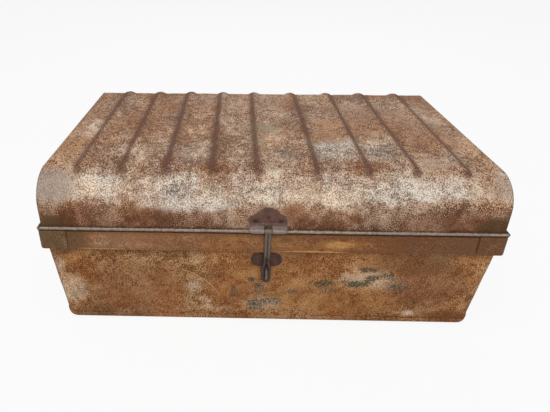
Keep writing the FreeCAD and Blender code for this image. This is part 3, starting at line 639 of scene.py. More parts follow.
LID_LAYERS = {
    Tone.RED: Layer((0.285, 0.128, 0.068), 0.5, 0.8, False, 0.6),
    Tone.ORANGE: Layer((0.42, 0.21, 0.098), 0.6, 0.9, False, 0.5),
    Tone.SLATE: Layer((0.135, 0.113, 0.094), 0.8, 0.9, True),
    Tone.VEIL: Layer((0.40, 0.32, 0.262), 0.85, 0.3, False, 1.1),
    Tone.OLIVE: Layer((0.33, 0.27, 0.172), 0.7, 0.8, False, 0.5),
    Tone.PLUM: Layer((0.125, 0.057, 0.037), 0.78, 0.35, False, 0.9),
    Tone.DARK: Layer((0.088, 0.048, 0.019), 0.85, 0.8, False, 1.1),
    Tone.BARE: Layer((0.285, 0.225, 0.185), 0.9, 0.3),
}
BASE_LAYERS = {
    Tone.RED: Layer((0.25, 0.098, 0.045), 0.55, 0.9, False, 0.6),
    Tone.ORANGE: Layer((0.375, 0.17, 0.055), 0.55, 0.9, False, 0.6),
    Tone.VEIL: Layer((0.50, 0.34, 0.22), 0.72, 1.5, False, 0.3),
    Tone.SLATE: Layer((0.060, 0.070, 0.064), 0.92, 1.0, True),
    Tone.OLIVE: Layer((0.076, 0.070, 0.042), 0.9, 1.0, True),
    Tone.PLUM: Layer((0.135, 0.056, 0.024), 0.6, 0.7, False, 0.7),
    Tone.DARK: Layer((0.125, 0.068, 0.032), 0.85, 0.5, False, 1.0),
    Tone.BARE: Layer((0.52, 0.27, 0.09), 0.75, 0.6, False, 0.8),
}
CHALK = (0.62, 0.45, 0.30)
CRACK = LID_LAYERS[Tone.PLUM].colour
HOLE = LID_LAYERS[Tone.DARK].colour
LID_PAINT = SheetFinish(
    "lid_paint",
    ((0.11, 0.045, 0.0205), (0.207, 0.098, 0.049), (0.318, 0.174, 0.102), (0.45, 0.272, 0.169),
     (0.66, 0.47, 0.325)),
    ((0.19, 0.125, 0.09), (0.335, 0.245, 0.185), (0.49, 0.375, 0.292), (0.66, 0.525, 0.415),
     (0.88, 0.755, 0.61)),
    LID_LAYERS, contrast=6.2, grain=540.0, level=0.465, bump=0.25, rough=0.68, specular=0.12, flecks=0.36,
    warm=(1.07, 0.97, 0.87), cool=(0.97, 1.0, 1.05), streak=(1.0, 0.5, 0.8), nap=(1.0, 0.5, 1.0),
    scratches=(
        Scratch(CRACK, (1.012, 0.0, 0.265), 1.0, (0.012, -0.228, 0.268), 0.022, 0.0012, 0.7),
        Scratch(CRACK, (1.016, 0.0, 0.265), 1.0, (0.016, -0.226, 0.272), 0.016, 0.0010, 0.5),
        Scratch(HOLE, (-0.340, 0.0, 0.2185), 0.0, (-0.340, -0.235, 0.2185), 0.004, 0.0026, 0.95)))
BASE_RUST = SheetFinish(
    "base_rust",
    ((0.10, 0.034, 0.011), (0.195, 0.074, 0.024), (0.29, 0.118, 0.041), (0.395, 0.177, 0.068),
     (0.63, 0.38, 0.18)),
    ((0.15, 0.062, 0.024), (0.27, 0.13, 0.06), (0.42, 0.25, 0.14), (0.58, 0.40, 0.26), (0.80, 0.63, 0.46)),
    BASE_LAYERS, contrast=5.8, grain=540.0, level=0.46, bump=0.25, rough=0.66, specular=0.1, flecks=0.44,
    warm=(1.06, 0.96, 0.86), cool=(0.94, 0.97, 1.0),
    scratches=(
        Scratch(CHALK, (-0.185, 0.0, 0.020), 0.110, (-0.110, -0.228, 0.098), 0.052),
        Scratch(CHALK, (-0.330, 0.0, 0.010), 0.135, (-0.243, -0.228, 0.110), 0.018, 0.001, 0.5),
        Scratch(CHALK, (0.300, 0.0, -0.060), 0.300, (0.045, -0.228, 0.100), 0.022, 0.0009, 0.5),
        Scratch(CHALK, (0.528, 0.0, 0.351), 0.440, (0.145, -0.231, 0.131), 0.019, 0.0016, 0.6)))
COLLAR_RUST = SheetFinish(
    "collar_rust",
    ((0.092, 0.034, 0.012), (0.15, 0.059, 0.022), (0.212, 0.085, 0.034), (0.275, 0.12, 0.05),
     (0.42, 0.22, 0.10)),
    ((0.14, 0.062, 0.027), (0.21, 0.10, 0.05), (0.29, 0.15, 0.08), (0.38, 0.22, 0.13), (0.52, 0.36, 0.24)),
    BASE_LAYERS, contrast=2.1, grain=420.0, level=0.48, bump=0.2, rough=0.58, specular=0.15, flecks=0.12)
LEFT_WRAP_RUST = replace(
    COLLAR_RUST, name="left_wrap_rust",
    rust=((0.075, 0.041, 0.018), (0.112, 0.061, 0.027), (0.15, 0.084, 0.039), (0.19, 0.11, 0.056),
          (0.28, 0.17, 0.095)),
    pale=((0.14, 0.08, 0.04), (0.17, 0.10, 0.05), (0.20, 0.12, 0.06), (0.24, 0.15, 0.08), (0.30, 0.20, 0.11)))
RIGHT_WRAP_RUST = replace(
    COLLAR_RUST, name="right_wrap_rust",
    rust=((0.068, 0.03, 0.012), (0.106, 0.048, 0.02), (0.145, 0.066, 0.028), (0.19, 0.09, 0.04),
          (0.29, 0.155, 0.075)),
    pale=((0.14, 0.07, 0.03), (0.17, 0.085, 0.04), (0.20, 0.10, 0.05), (0.24, 0.13, 0.06),
          (0.30, 0.17, 0.09)))
INNER_RUST = SheetFinish(
    "inner_rust",
    ((0.07, 0.04, 0.025), (0.115, 0.066, 0.042), (0.165, 0.095, 0.06), (0.23, 0.14, 0.09),
     (0.34, 0.23, 0.16)),
    ((0.08, 0.046, 0.03), (0.13, 0.078, 0.05), (0.19, 0.115, 0.075), (0.26, 0.165, 0.11),
     (0.38, 0.27, 0.19)),
    LID_LAYERS, contrast=3.0, grain=180.0, level=0.48, rough=0.7, specular=0.15, flecks=0.12)
LATCH_IRON = IronFinish(
    "latch_iron", (0.085, 0.038, 0.028), (0.15, 0.07, 0.05), (0.25, 0.21, 0.18), rub=(0.2215, 0.2170))
HASP_IRON = IronFinish(
    "hasp_iron", (0.052, 0.026, 0.019), (0.092, 0.046, 0.033), (0.17, 0.135, 0.105), rub=(0.150, 0.178))
PLATE_IRON = IronFinish(
    "plate_iron", (0.036, 0.015, 0.010), (0.092, 0.037, 0.025), (0.16, 0.09, 0.065), rough=0.62)
STAPLE_IRON = IronFinish("staple_iron", (0.10, 0.075, 0.065), (0.19, 0.155, 0.135), (0.32, 0.29, 0.26))
FITTING_IRON = IronFinish("fitting_iron", (0.055, 0.03, 0.022), (0.13, 0.065, 0.042), (0.21, 0.17, 0.14))
RIVET_IRON = IronFinish("rivet_iron", (0.08, 0.038, 0.024), (0.16, 0.08, 0.048), (0.23, 0.17, 0.13))
WIRE_STEEL = IronFinish(
    "wire_steel", (0.15, 0.115, 0.09), (0.23, 0.18, 0.14), (0.30, 0.26, 0.23), rough=0.42)


class Pen:
    """Draws a wire with bmesh operators and sweeps it into thin sheet."""

    def __init__(self, start: Sequence[float]) -> None:
        """Puts the pen down at a point.

        Args:
            start: The point.
        """
        self.bm = bmesh.new()
        self.tip = self.bm.verts.new(start)
        self.rail: list[bmesh.types.BMEdge] = []

    def line(self, end: Sequence[float], steps: int = 1) -> "Pen":
        """Draws a straight line in equal steps.

        Args:
            end: Where it ends.
            steps: How many steps.

        Returns:
            The pen.
        """
        start = self.tip.co.copy()
        for step in range(1, steps + 1):
            self.tip = bmesh.ops.extrude_vert_indiv(self.bm, verts=[self.tip])["verts"][0]
            self.tip.co = start.lerp(Vector(end), step / steps)
        return self

    def arc(self, centre: Point, axis: Point, degrees: float, steps: int) -> "Pen":
        """Draws part of a circle about an axis.

        Args:
            centre: A point on the axis.
            axis: Direction of the axis.
            degrees: How far.
            steps: In how many edges.

        Returns:
            The pen.
        """
        spun = bmesh.ops.spin(self.bm, geom=[self.tip], cent=centre, axis=axis, angle=math.radians(degrees),
                              steps=steps, use_duplicate=False)
        self.tip = next(item for item in spun["geom_last"] if isinstance(item, bmesh.types.BMVert))
        return self

    def lift(self) -> "Pen":
        """Ends the drawing: the wire is what the next calls sweep."""
        self.rail = self.bm.edges[:]
        return self

    def run(self, shift: Sequence[float], steps: int) -> "Pen":
        """Sweeps the wire straight, in equal steps.

        Args:
            shift: How far along each axis.
            steps: How many steps.

        Returns:
            The pen.
        """
        for _ in range(steps):
            grown = bmesh.ops.extrude_edge_only(self.bm, edges=self.rail)["geom"]
            ends = {item for item in grown if isinstance(item, bmesh.types.BMVert)}
            bmesh.ops.translate(self.bm, verts=list(ends), vec=Vector(shift) / steps)
            self.rail = [item for item in grown if isinstance(item, bmesh.types.BMEdge)
                         and set(item.verts) <= ends]
        return self

    def turn(self, centre: Point, axis: Point, degrees: float, steps: int) -> "Pen":
        """Sweeps the wire round an axis.

        Args:
            centre: A point on the axis.
            axis: Direction of the axis.
            degrees: How far.
            steps: How many steps.

        Returns:
            The pen.
        """
        ends = {vert for edge in self.rail for vert in edge.verts}
        spun = bmesh.ops.spin(self.bm, geom=[*ends, *self.rail], cent=centre, axis=axis,
                              angle=math.radians(degrees), steps=steps, use_duplicate=False)
        self.rail = [item for item in spun["geom_last"] if isinstance(item, bmesh.types.BMEdge)]
        return self


def sheet_object(bm: Mesh, name: str, outward: Callable[[Vector], Vector],
                 finishes: Sequence[Material], thickness: float = SHEET) -> Piece:
    """Turns a swept surface into a sheet with its thickness inside.

    Args:
        bm: The surface, which is freed.
        name: Name of the piece.
        outward: Rough outward direction at a place.
        finishes: Outer and inner material.
        thickness: Gauge of the sheet.

    Returns:
        The new object.
    """
    bmesh.ops.remove_doubles(bm, verts=bm.verts[:], dist=TINY)
    bmesh.ops.recalc_face_normals(bm, faces=bm.faces[:])
    facing = sum(face.normal.dot(outward(face.calc_center_median())) * face.calc_area()
                 for face in bm.faces)
    if facing < 0.0:
        bmesh.ops.reverse_faces(bm, faces=bm.faces[:])
    for face in bm.faces:
        face.smooth = True
    mesh = bpy.data.meshes.new(name)
    bm.to_mesh(mesh)
    bm.free()
    piece = bpy.data.objects.new(name, mesh)
    bpy.context.scene.collection.objects.link(piece)
    for finish in finishes:
        mesh.materials.append(finish)
    if thickness:
        solid = piece.modifiers.new("gauge", "SOLIDIFY")
        solid.thickness = thickness
        solid.offset = -1.0
        solid.material_offset = len(finishes) - 1
    return piece


def half_turn(bm: Mesh) -> None:
    """Turns a piece of the front round to the back."""
    bmesh.ops.rotate(bm, verts=bm.verts[:], cent=(0.0, 0.0, 0.0), matrix=Matrix.Rotation(math.pi, 3, "Z"))


def places_of(piece: Piece) -> np.ndarray:
    """Vertex places of a piece, one row each.

    Args:
        piece: The piece.

    Returns:
        The places.
    """
    places = np.empty(3 * len(piece.data.vertices))
    piece.data.vertices.foreach_get("co", places)
    return places.reshape(-1, 3)


def paint(piece: Piece, stains: Sequence[Stain], weights: dict[Tone, np.ndarray]) -> None:
    """Stores every tone's weight on a piece.

    Args:
        piece: The piece.
        stains: Patches.
        weights: Weights from elsewhere, to which the patches are added.
    """
    places = places_of(piece)
    for tone in Tone:
        value = np.zeros(len(places)) + weights.get(tone, 0.0)
        for stain in stains:
            if stain.tone is tone:
                value += stain.weight(places)
        layer = piece.data.attributes.new(tone.value, "FLOAT", "POINT")
        layer.data.foreach_set("value", np.clip(value, *WEIGHTS).astype(np.float32))


@dataclass
class Lid:
    """Fluted lid: one skin from front edge to back edge, and two end plates."""
    half_width: float = 0.3745
    half_depth: float = LID_FACE
    top: float = 0.295
    bullnose: float = 0.050
    bead_height: float = 0.2073
    wire: float = 0.0025
    roll: float = 300.0
    mitre_gap: float = 0.0008
    mitre_from: float = 0.0004
    flange: float = 0.012
    flange_from: float = 0.0045
    flute_width: float = 0.028
    flute_height: float = 0.0055
    flute_inset: float = 0.034
    pucker: float = 0.0012
    pucker_past: float = 0.007
    pucker_reach: Band = (0.013, 0.008)
    dents: tuple[Dent, ...] = (Dent(0.0011, 0.075, 4.0), Dent(0.0004, 0.022, 9.0))
    dent_sink: float = 0.0004
    dent_from: float = 0.004
    dent_fade: float = 0.03
    dent_side_fade: float = 0.02
    end_dent: Dent = Dent(0.0014, 0.09, 6.0)
    end_sink: float = 0.0006
    end_fade: float = 0.125
    end_bias: float = 1.5
    roll_steps: int = 16
    wall_steps: int = 8
    bullnose_steps: int = 16
    top_steps: int = 70
    columns: int = 250
    end_columns: int = 96
    end_rows: int = 30
    # Pale band over the bullnose by how far it turns: chalky paint with a painted highlight where the
    # bullnose catches the light.
    chalk_and_sheen_turn: tuple[float, ...] = (0.0, 22.0, 45.0, 65.0, 75.0, 90.0)
    chalk_and_sheen_share: tuple[float, ...] = (0.10, 0.48, 0.78, 0.86, 0.66, 0.15)
    chalk_heights: Band = (0.216, 0.232)
    chalk_low: Band = (-0.5, -0.3)
    chalk_and_sheen_back: float = 0.7
    low_band: Band = (0.214, 0.250)
    low_depths: Band = (0.2, 0.22)
    low_sides: Band = (0.12, 0.24)
    top_band: Band = (0.286, 0.2925)
    low_middle: float = 0.6
    # Painted shade on each flute's outer flank, which faces away from the light, with some grime in the
    # groove.
    flank_place: float = 0.6
    flank_width: float = 0.0100
    flank_fade: float = 0.012
    line_place: float = 0.5
    line_width: float = 0.0038
    # Painted shade in the pucker at the front end of each flute.
    blob_place: float = 0.25
    blob_core: float = 0.3
    blob_reach: Band = (0.013, 0.010)
    blob_inset: float = 0.002
    roll_band: Band = (0.0030, 0.0042)
    # Painted shade on the underside of the rolled edge.
    under_shade_band: Band = (-0.0018, 0.0002)
    # Rubbed bare iron along the top of the rolled edge, with a painted highlight on it.
    shine_from: Band = (-0.0010, 0.0003)
    shine_to: Band = (0.0014, 0.0027)
    lap_band: Band = (-0.004, -0.001)
    end_plane: float = 0.002
    flute_shares: tuple[float, ...] = (-0.83, -0.635, -0.44, -0.238, -0.043, 0.18, 0.403, 0.608, 0.823)
    stains: tuple[Stain, ...] = (
        Stain(Tone.SLATE, (0.115, -0.125, 0.295), (0.160, 0.085, 0.03), 0.80),
        Stain(Tone.SLATE, (0.015, -0.125, 0.295), (0.060, 0.055, 0.03), 0.45),
        Stain(Tone.SLATE, (0.215, -0.115, 0.295), (0.070, 0.060, 0.03), 0.62),
        Stain(Tone.CREAM, (0.040, -0.135, 0.295), (0.080, 0.060, 0.03), 0.15),
        Stain(Tone.CREAM, (0.150, -0.125, 0.295), (0.100, 0.060, 0.03), 0.55),
        Stain(Tone.CREAM, (0.130, -0.085, 0.295), (0.120, 0.035, 0.03), 0.60),
        Stain(Tone.OLIVE, (-0.007, -0.014, 0.295), (0.052, 0.030, 0.02), 1.1),
        Stain(Tone.OLIVE, (-0.023, -0.085, 0.295), (0.026, 0.055, 0.02), 0.75),
        Stain(Tone.ORANGE, (0.105, -0.060, 0.295), (0.090, 0.040, 0.02), 0.75),
        Stain(Tone.ORANGE, (0.170, 0.000, 0.295), (0.110, 0.070, 0.02), 0.55),
        Stain(Tone.RED, (0.220, 0.060, 0.295), (0.130, 0.090, 0.02), 0.55),
        Stain(Tone.RED, (0.030, 0.130, 0.295), (0.110, 0.090, 0.02), 0.35),
        Stain(Tone.SHADE, (0.000, 0.140, 0.295), (0.220, 0.090, 0.02), -0.35),
        Stain(Tone.RED, (-0.160, 0.130, 0.295), (0.130, 0.080, 0.02), 0.30),
        Stain(Tone.SLATE, (0.197, 0.005, 0.295), (0.022, 0.020, 0.02), 0.75),
        Stain(Tone.SLATE, (-0.146, -0.104, 0.295), (0.060, 0.035, 0.02), 0.95),
        Stain(Tone.SLATE, (-0.125, -0.160, 0.295), (0.060, 0.026, 0.02), 0.95),
        Stain(Tone.CREAM, (-0.127, -0.128, 0.295), (0.080, 0.070, 0.02), 0.50),
        Stain(Tone.RED, (0.300, -0.040, 0.295), (0.080, 0.110, 0.02), 0.75),
        Stain(Tone.SHADE, (0.290, -0.030, 0.295), (0.080, 0.110, 0.02), 0.35),
        Stain(Tone.CREAM, (-0.180, 0.020, 0.295), (0.028, 0.110, 0.02), 0.45),
        Stain(Tone.CREAM, (-0.110, -0.030, 0.295), (0.050, 0.090, 0.02), 0.25),
        Stain(Tone.CREAM, (-0.335, -0.020, 0.295), (0.040, 0.080, 0.02), 0.45),
        Stain(Tone.CREAM, (-0.230, -0.120, 0.295), (0.080, 0.060, 0.02), 0.30),
        Stain(Tone.RED, (-0.250, 0.010, 0.295), (0.070, 0.110, 0.02), 0.45),
        Stain(Tone.ORANGE, (-0.345, -0.110, 0.295), (0.035, 0.070, 0.02), 0.55),
        Stain(Tone.ORANGE, (0.345, -0.165, 0.295), (0.035, 0.050, 0.02), 0.35),
        Stain(Tone.SHADE, (0.325, -0.135, 0.295), (0.080, 0.090, 0.02), 1.60),
        Stain(Tone.SHADE, (0.215, -0.115, 0.295), (0.070, 0.060, 0.02), 0.45),
        Stain(Tone.VEIL, (0.290, -0.150, 0.295), (0.070, 0.045, 0.02), 0.34),
        # Painted highlight: a smooth grey sheen at each end of the bullnose.
        Stain(Tone.VEIL, (-0.354, -0.222, 0.277), (0.064, 0.06, 0.040), 0.95),
        Stain(Tone.VEIL, (0.358, -0.220, 0.281), (0.034, 0.06, 0.022), 0.50),
        Stain(Tone.SHADE, (0.352, -0.222, 0.276), (0.050, 0.06, 0.034), 1.0),
        Stain(Tone.CREAM, (0.352, -0.222, 0.276), (0.050, 0.06, 0.034), -0.6),
        Stain(Tone.CREAM, (-0.352, -0.222, 0.277), (0.046, 0.06, 0.040), -0.6),
        Stain(Tone.CREAM, (-0.275, -0.221, 0.279), (0.060, 0.03, 0.020), 0.60),
        Stain(Tone.CREAM, (-0.130, -0.234, 0.250), (0.110, 0.02, 0.020), 0.65),
        Stain(Tone.CREAM, (0.060, -0.230, 0.266), (0.160, 0.02, 0.012), 0.20),
        Stain(Tone.SLATE, (-0.217, -0.226, 0.274), (0.028, 0.03, 0.012), 0.85),
        Stain(Tone.SLATE, (-0.158, -0.226, 0.273), (0.030, 0.03, 0.016), 1.0),
        Stain(Tone.SLATE, (-0.090, -0.221, 0.280), (0.034, 0.03, 0.014), 0.95),
        Stain(Tone.SLATE, (-0.010, -0.224, 0.276), (0.050, 0.03, 0.016), 0.75),
        Stain(Tone.SLATE, (0.095, -0.216, 0.285), (0.100, 0.03, 0.010), 0.85),
        Stain(Tone.SLATE, (0.191, -0.227, 0.270), (0.016, 0.03, 0.014), 0.85),
        Stain(Tone.DARK, (-0.357, -0.235, 0.217), (0.048, 0.02, 0.018), 0.8),
        Stain(Tone.DARK, (0.357, -0.235, 0.220), (0.046, 0.02, 0.022), 1.2),
        Stain(Tone.CREAM, (0.130, -0.235, 0.236), (0.130, 0.03, 0.020), 0.25),
        Stain(Tone.CREAM, (0.300, -0.235, 0.244), (0.130, 0.03, 0.032), -1.1),
        Stain(Tone.SHADE, (-0.270, -0.235, 0.228), (0.110, 0.03, 0.028), 0.45),
        Stain(Tone.SHADE, (-0.345, -0.235, 0.234), (0.050, 0.03, 0.030), 0.90),
        Stain(Tone.CREAM, (-0.345, -0.235, 0.238), (0.050, 0.03, 0.024), -0.90),
        Stain(Tone.RED, (0.300, -0.235, 0.236), (0.120, 0.03, 0.034), 0.20),
        Stain(Tone.SHADE, (0.345, -0.236, 0.246), (0.055, 0.03, 0.024), 1.0),
        Stain(Tone.CREAM, (0.345, -0.236, 0.248), (0.055, 0.03, 0.020), -1.0),
        Stain(Tone.SHADE, (-0.350, -0.236, 0.252), (0.045, 0.03, 0.018), 0.70),
        Stain(Tone.SHADE, (0.290, -0.235, 0.230), (0.150, 0.03, 0.036), 0.95),
        Stain(Tone.SHADE, (0.305, -0.235, 0.224), (0.100, 0.03, 0.026), 0.80),
        Stain(Tone.RED, (0.275, -0.235, 0.226), (0.110, 0.03, 0.026), 0.30),
        Stain(Tone.CREAM, (0.315, -0.235, 0.250), (0.090, 0.03, 0.022), -0.9),
        Stain(Tone.SHADE, (0.315, -0.235, 0.248), (0.090, 0.03, 0.024), 1.0),
        Stain(Tone.RED, (0.035, -0.235, 0.242), (0.026, 0.03, 0.030), 0.8),
        Stain(Tone.RED, (-0.240, -0.235, 0.240), (0.150, 0.03, 0.016), 0.35),
        Stain(Tone.OLIVE, (0.150, -0.235, 0.222), (0.050, 0.03, 0.008), 0.5),
    )

    @property
    def spring(self) -> float:
        """Height where the wall turns into the bullnose."""
        return self.top - self.bullnose

    @property
    def flute_run(self) -> float:
        """Distance from the middle to where a flute starts to round off."""
        return self.half_depth - self.flute_inset - self.flute_width / 2.0

    def from_flute(self, place: Vector) -> float:
        """Distance across from the middle line of the nearest flute."""
        return min(abs(place.x - share * self.half_width) for share in self.flute_shares)

    def flute_top(self, place: Vector) -> float:
        """Height of the flute nearest to a place, or far below where there is none.

        Args:
            place: The place.

        Returns:
            The height.
        """
        half = self.flute_width / 2.0
        ball = (half ** 2 + self.flute_height ** 2) / (2.0 * self.flute_height)
        out = math.hypot(self.from_flute(place), max(0.0, abs(place.y) - self.flute_run))
        if out >= ball:
            return 0.0
        return self.top + self.flute_height - ball + math.sqrt(ball ** 2 - out ** 2)

    def press_flutes(self, bm: Mesh) -> None:
        """Raises the flutes out of the sheet, and puckers the sheet round their ends.

        Args:
            bm: The skin.
        """
        past = self.half_depth - self.flute_inset + self.pucker_past
        wide, long = self.pucker_reach
        for vert in bm.verts:
            if vert.co.z <= self.spring:
                continue
            pucker = math.exp(-(self.from_flute(vert.co) / wide) ** 2 - ((abs(vert.co.y) - past) / long) ** 2)
            rise = self.flute_top(vert.co) - vert.co.z
            vert.co.z += max(rise, 0.0) - self.pucker * pucker

    def batter(self, bm: Mesh) -> None:
        """Dents the skin lightly, and leaves its lower edges straight.

        Args:
            bm: The skin.
        """
        bm.normal_update()
        for vert in bm.verts:
            above = vert.co.z - self.bead_height - self.dent_from
            if above > 0.0:
                hold = min(1.0, above / self.dent_fade)
                inside = min(1.0, (self.half_width - abs(vert.co.x)) / self.dent_side_fade)
                depth = sum(dent.at(vert.co) for dent in self.dents)
                vert.co += vert.normal * (depth - self.dent_sink) * hold * inside

    def skin(self, finishes: Sequence[Material]) -> Piece:
        """Models the fluted skin with its rolled front and back edges.

        Args:
            finishes: Outer and inner material.

        Returns:
            The skin.
        """
        wire_y = self.half_depth + self.wire
        turn = math.radians(360.0 - self.roll)
        arc_y = self.half_depth - self.bullnose
        pen = Pen((-self.half_width, -wire_y + self.wire * math.cos(turn),
                   self.bead_height + self.wire * math.sin(turn)))
        pen.arc((0.0, -wire_y, self.bead_height), X_AXIS, self.roll, self.roll_steps)
        pen.line((-self.half_width, -self.half_depth, self.spring), self.wall_steps)
        pen.arc((0.0, -arc_y, self.spring), X_AXIS, -90.0, self.bullnose_steps)
        pen.line((-self.half_width, arc_y, self.top), self.top_steps)
        pen.arc((0.0, arc_y, self.spring), X_AXIS, -90.0, self.bullnose_steps)
        pen.line((-self.half_width, self.half_depth, self.bead_height), self.wall_steps)
        pen.arc((0.0, wire_y, self.bead_height), X_AXIS, self.roll, self.roll_steps)
        pen.lift().run((2.0 * self.half_width, 0.0, 0.0), self.columns)
        self.press_flutes(pen.bm)
        self.batter(pen.bm)
        for vert in pen.bm.verts:
            out = abs(vert.co.y) - self.half_depth
            if out > self.mitre_from and abs(vert.co.x) > self.half_width - HAIR:
                vert.co.x = math.copysign(self.half_width + out - self.mitre_gap, vert.co.x)
        middle = Vector((0.0, 0.0, 0.2))
        return sheet_object(pen.bm, "lid_fluted_skin", lambda place: place - middle, finishes)

    def end(self, side: Side, finishes: Sequence[Material]) -> Piece:
        """Models an end plate with its turned-in flange and rolled lower edge.

        Args:
            side: Which end.
            finishes: Outer and inner material.

        Returns:
            The end plate.
        """
        inset = SHEET + LAP_GAP
        half = self.half_depth - inset
        crown = self.top - inset
        radius = self.bullnose - inset
        bm = bmesh.new()
        bmesh.ops.create_grid(bm, x_segments=self.end_columns, y_segments=self.end_rows, size=1.0)
        for vert in bm.verts:
            share = 1.0 - (0.5 - 0.5 * vert.co.y) ** self.end_bias
            z = self.bead_height + share * (crown - self.bead_height)
            over = max(0.0, z - self.spring)
            y = vert.co.x * (half - radius + math.sqrt(max(0.0, radius ** 2 - over ** 2)))
            hold = min(1.0, (z - self.bead_height) / self.dent_fade)
            hold *= min(1.0, (1.0 - abs(vert.co.x)) / self.end_fade)
            dish = self.end_dent.at(Vector((side.value, y, z))) - self.end_sink
            vert.co = Vector((self.half_width + hold * dish, y, z))
        rim = [edge for edge in bm.edges if edge.is_boundary
               and min(vert.co.z for vert in edge.verts) > self.bead_height + self.flange_from]
        grown = bmesh.ops.extrude_edge_only(bm, edges=rim)["geom"]
        bmesh.ops.translate(bm, verts=[item for item in grown if isinstance(item, bmesh.types.BMVert)],
                            vec=(-self.flange, 0.0, 0.0))
        low = [edge for edge in bm.edges
               if all(abs(vert.co.z - self.bead_height) < TINY for vert in edge.verts)]
        bmesh.ops.spin(bm, geom=[*{vert for edge in low for vert in edge.verts}, *low],
                       cent=(self.half_width + self.wire, 0.0, self.bead_height), axis=TO_FRONT,
                       angle=math.radians(self.roll), steps=self.roll_steps, use_duplicate=False)
        for vert in bm.verts:
            out = vert.co.x - self.half_width
            if out > self.mitre_from and abs(vert.co.y) > half - HAIR:
                vert.co.y = math.copysign(self.half_depth + out - self.mitre_gap, vert.co.y)
            vert.co.x *= side.value
        return sheet_object(bm, f"lid_{side.name.lower()}_plate",
                            lambda place: Vector((side.value, 0.0, 0.0)), finishes)

    def above_bead(self, z: np.ndarray, band: Band) -> np.ndarray:
        """Rise over a band of heights, counted from the rolled edge's wire."""
        return ramp(z, self.bead_height + band[0], self.bead_height + band[1])

    def wear(self, piece: Piece) -> None:
        """Paints a lid piece: a pale bullnose of chalky paint with a painted highlight, painted shade with
        some grime on the outer flute flanks and in the puckers at their ends, and a rolled edge rubbed bare
        with a painted highlight on top and painted shade beneath.

        Args:
            piece: The skin or an end plate.
        """
        x, y, z = places_of(piece).T
        width, depth = np.abs(x), np.abs(y)
        # Pale bullnose: chalky paint, with a painted highlight across the turn of the bullnose.
        turned = np.degrees(np.arctan2(np.maximum(0.0, depth - self.half_depth + self.bullnose),
                                       np.maximum(TINY, z - self.spring)))
        wall = np.interp(z, (*self.chalk_heights, self.spring), (*self.chalk_low, self.chalk_and_sheen_share[-1]))
        chalk_and_sheen = np.where(z > self.spring, np.interp(turned, self.chalk_and_sheen_turn, self.chalk_and_sheen_share), wall)
        chalk_and_sheen *= np.where(y < 0.0, 1.0, self.chalk_and_sheen_back)
        low = (1.0 - ramp(z, *self.low_band)) * ramp(depth, *self.low_depths)
        low *= self.low_middle + (1.0 - self.low_middle) * ramp(width, *self.low_sides)
        centres = self.half_width * np.array(self.flute_shares)
        nearest = centres[np.argmin(np.abs(x[:, None] - centres[None, :]), axis=1)]
        half = self.flute_width / 2.0
        outer = (x - nearest) * np.sign(nearest)
        straight = 1.0 - ramp(np.maximum(0.0, depth - self.flute_run), 0.0, self.flank_fade)
        on_top = ramp(z, *self.top_band)
        # Painted shade: each flute's outer flank darkened, with a darker line along it and some grime.
        flank_shade = np.exp(-((outer - self.flank_place * half) / self.flank_width) ** 2) * straight
        line = np.exp(-((outer - self.line_place * half) / self.line_width) ** 2) * straight
        # Painted shade in the pucker at the front end of each flute.
        far = np.hypot((outer - self.blob_place * half) / self.blob_reach[0],
                       (depth - self.flute_run - half + self.blob_inset) / self.blob_reach[1])
        pucker_shade = 1.0 - ramp(far, self.blob_core, 1.0)
        roll = 1.0 - self.above_bead(z, self.roll_band)
        flat_end = np.where(np.abs(width - self.half_width) < self.end_plane, 1.0, 0.0)
        # Painted shade on the underside of the rolled edge.
        under = roll * (1.0 - self.above_bead(z, self.under_shade_band))
        # Rubbed bare iron along the top of the rolled edge, with a painted highlight on it.
        rub_and_highlight = self.above_bead(z, self.shine_from) * (1.0 - self.above_bead(z, self.shine_to))
        lap = ramp(width - self.half_width, *self.lap_band) * (1.0 - flat_end) * (1.0 - roll)
        paint(piece, self.stains, {
            Tone.CREAM: chalk_and_sheen * (1.0 - flat_end) - 0.3 * flat_end,
            Tone.SHADE: 1.5 * flank_shade * on_top + 1.25 * low,
            Tone.PLUM: (0.85 * line + 0.34 * flank_shade + 0.85 * pucker_shade) * on_top + 0.5 * lap,
            Tone.RED: 0.3 * flat_end + 0.34 * low,
            Tone.BARE: 1.3 * rub_and_highlight,
            Tone.DARK: 1.1 * under,
        })

    def build(self) -> list[Piece]:
        """Models and dresses the lid.

        Returns:
            The skin and the end plates.
        """
        outer, inner = LID_PAINT.material(), INNER_RUST.material()
        pieces = [self.skin((outer, inner))]
        pieces += [self.end(side, (outer, inner)) for side in Side]
        nodes = ("lid_skin", "lid_left_end", "lid_right_end")
        for piece, node in zip(pieces, nodes):
            self.wear(piece)
            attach(piece, "lid")
            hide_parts(node)
        return pieces


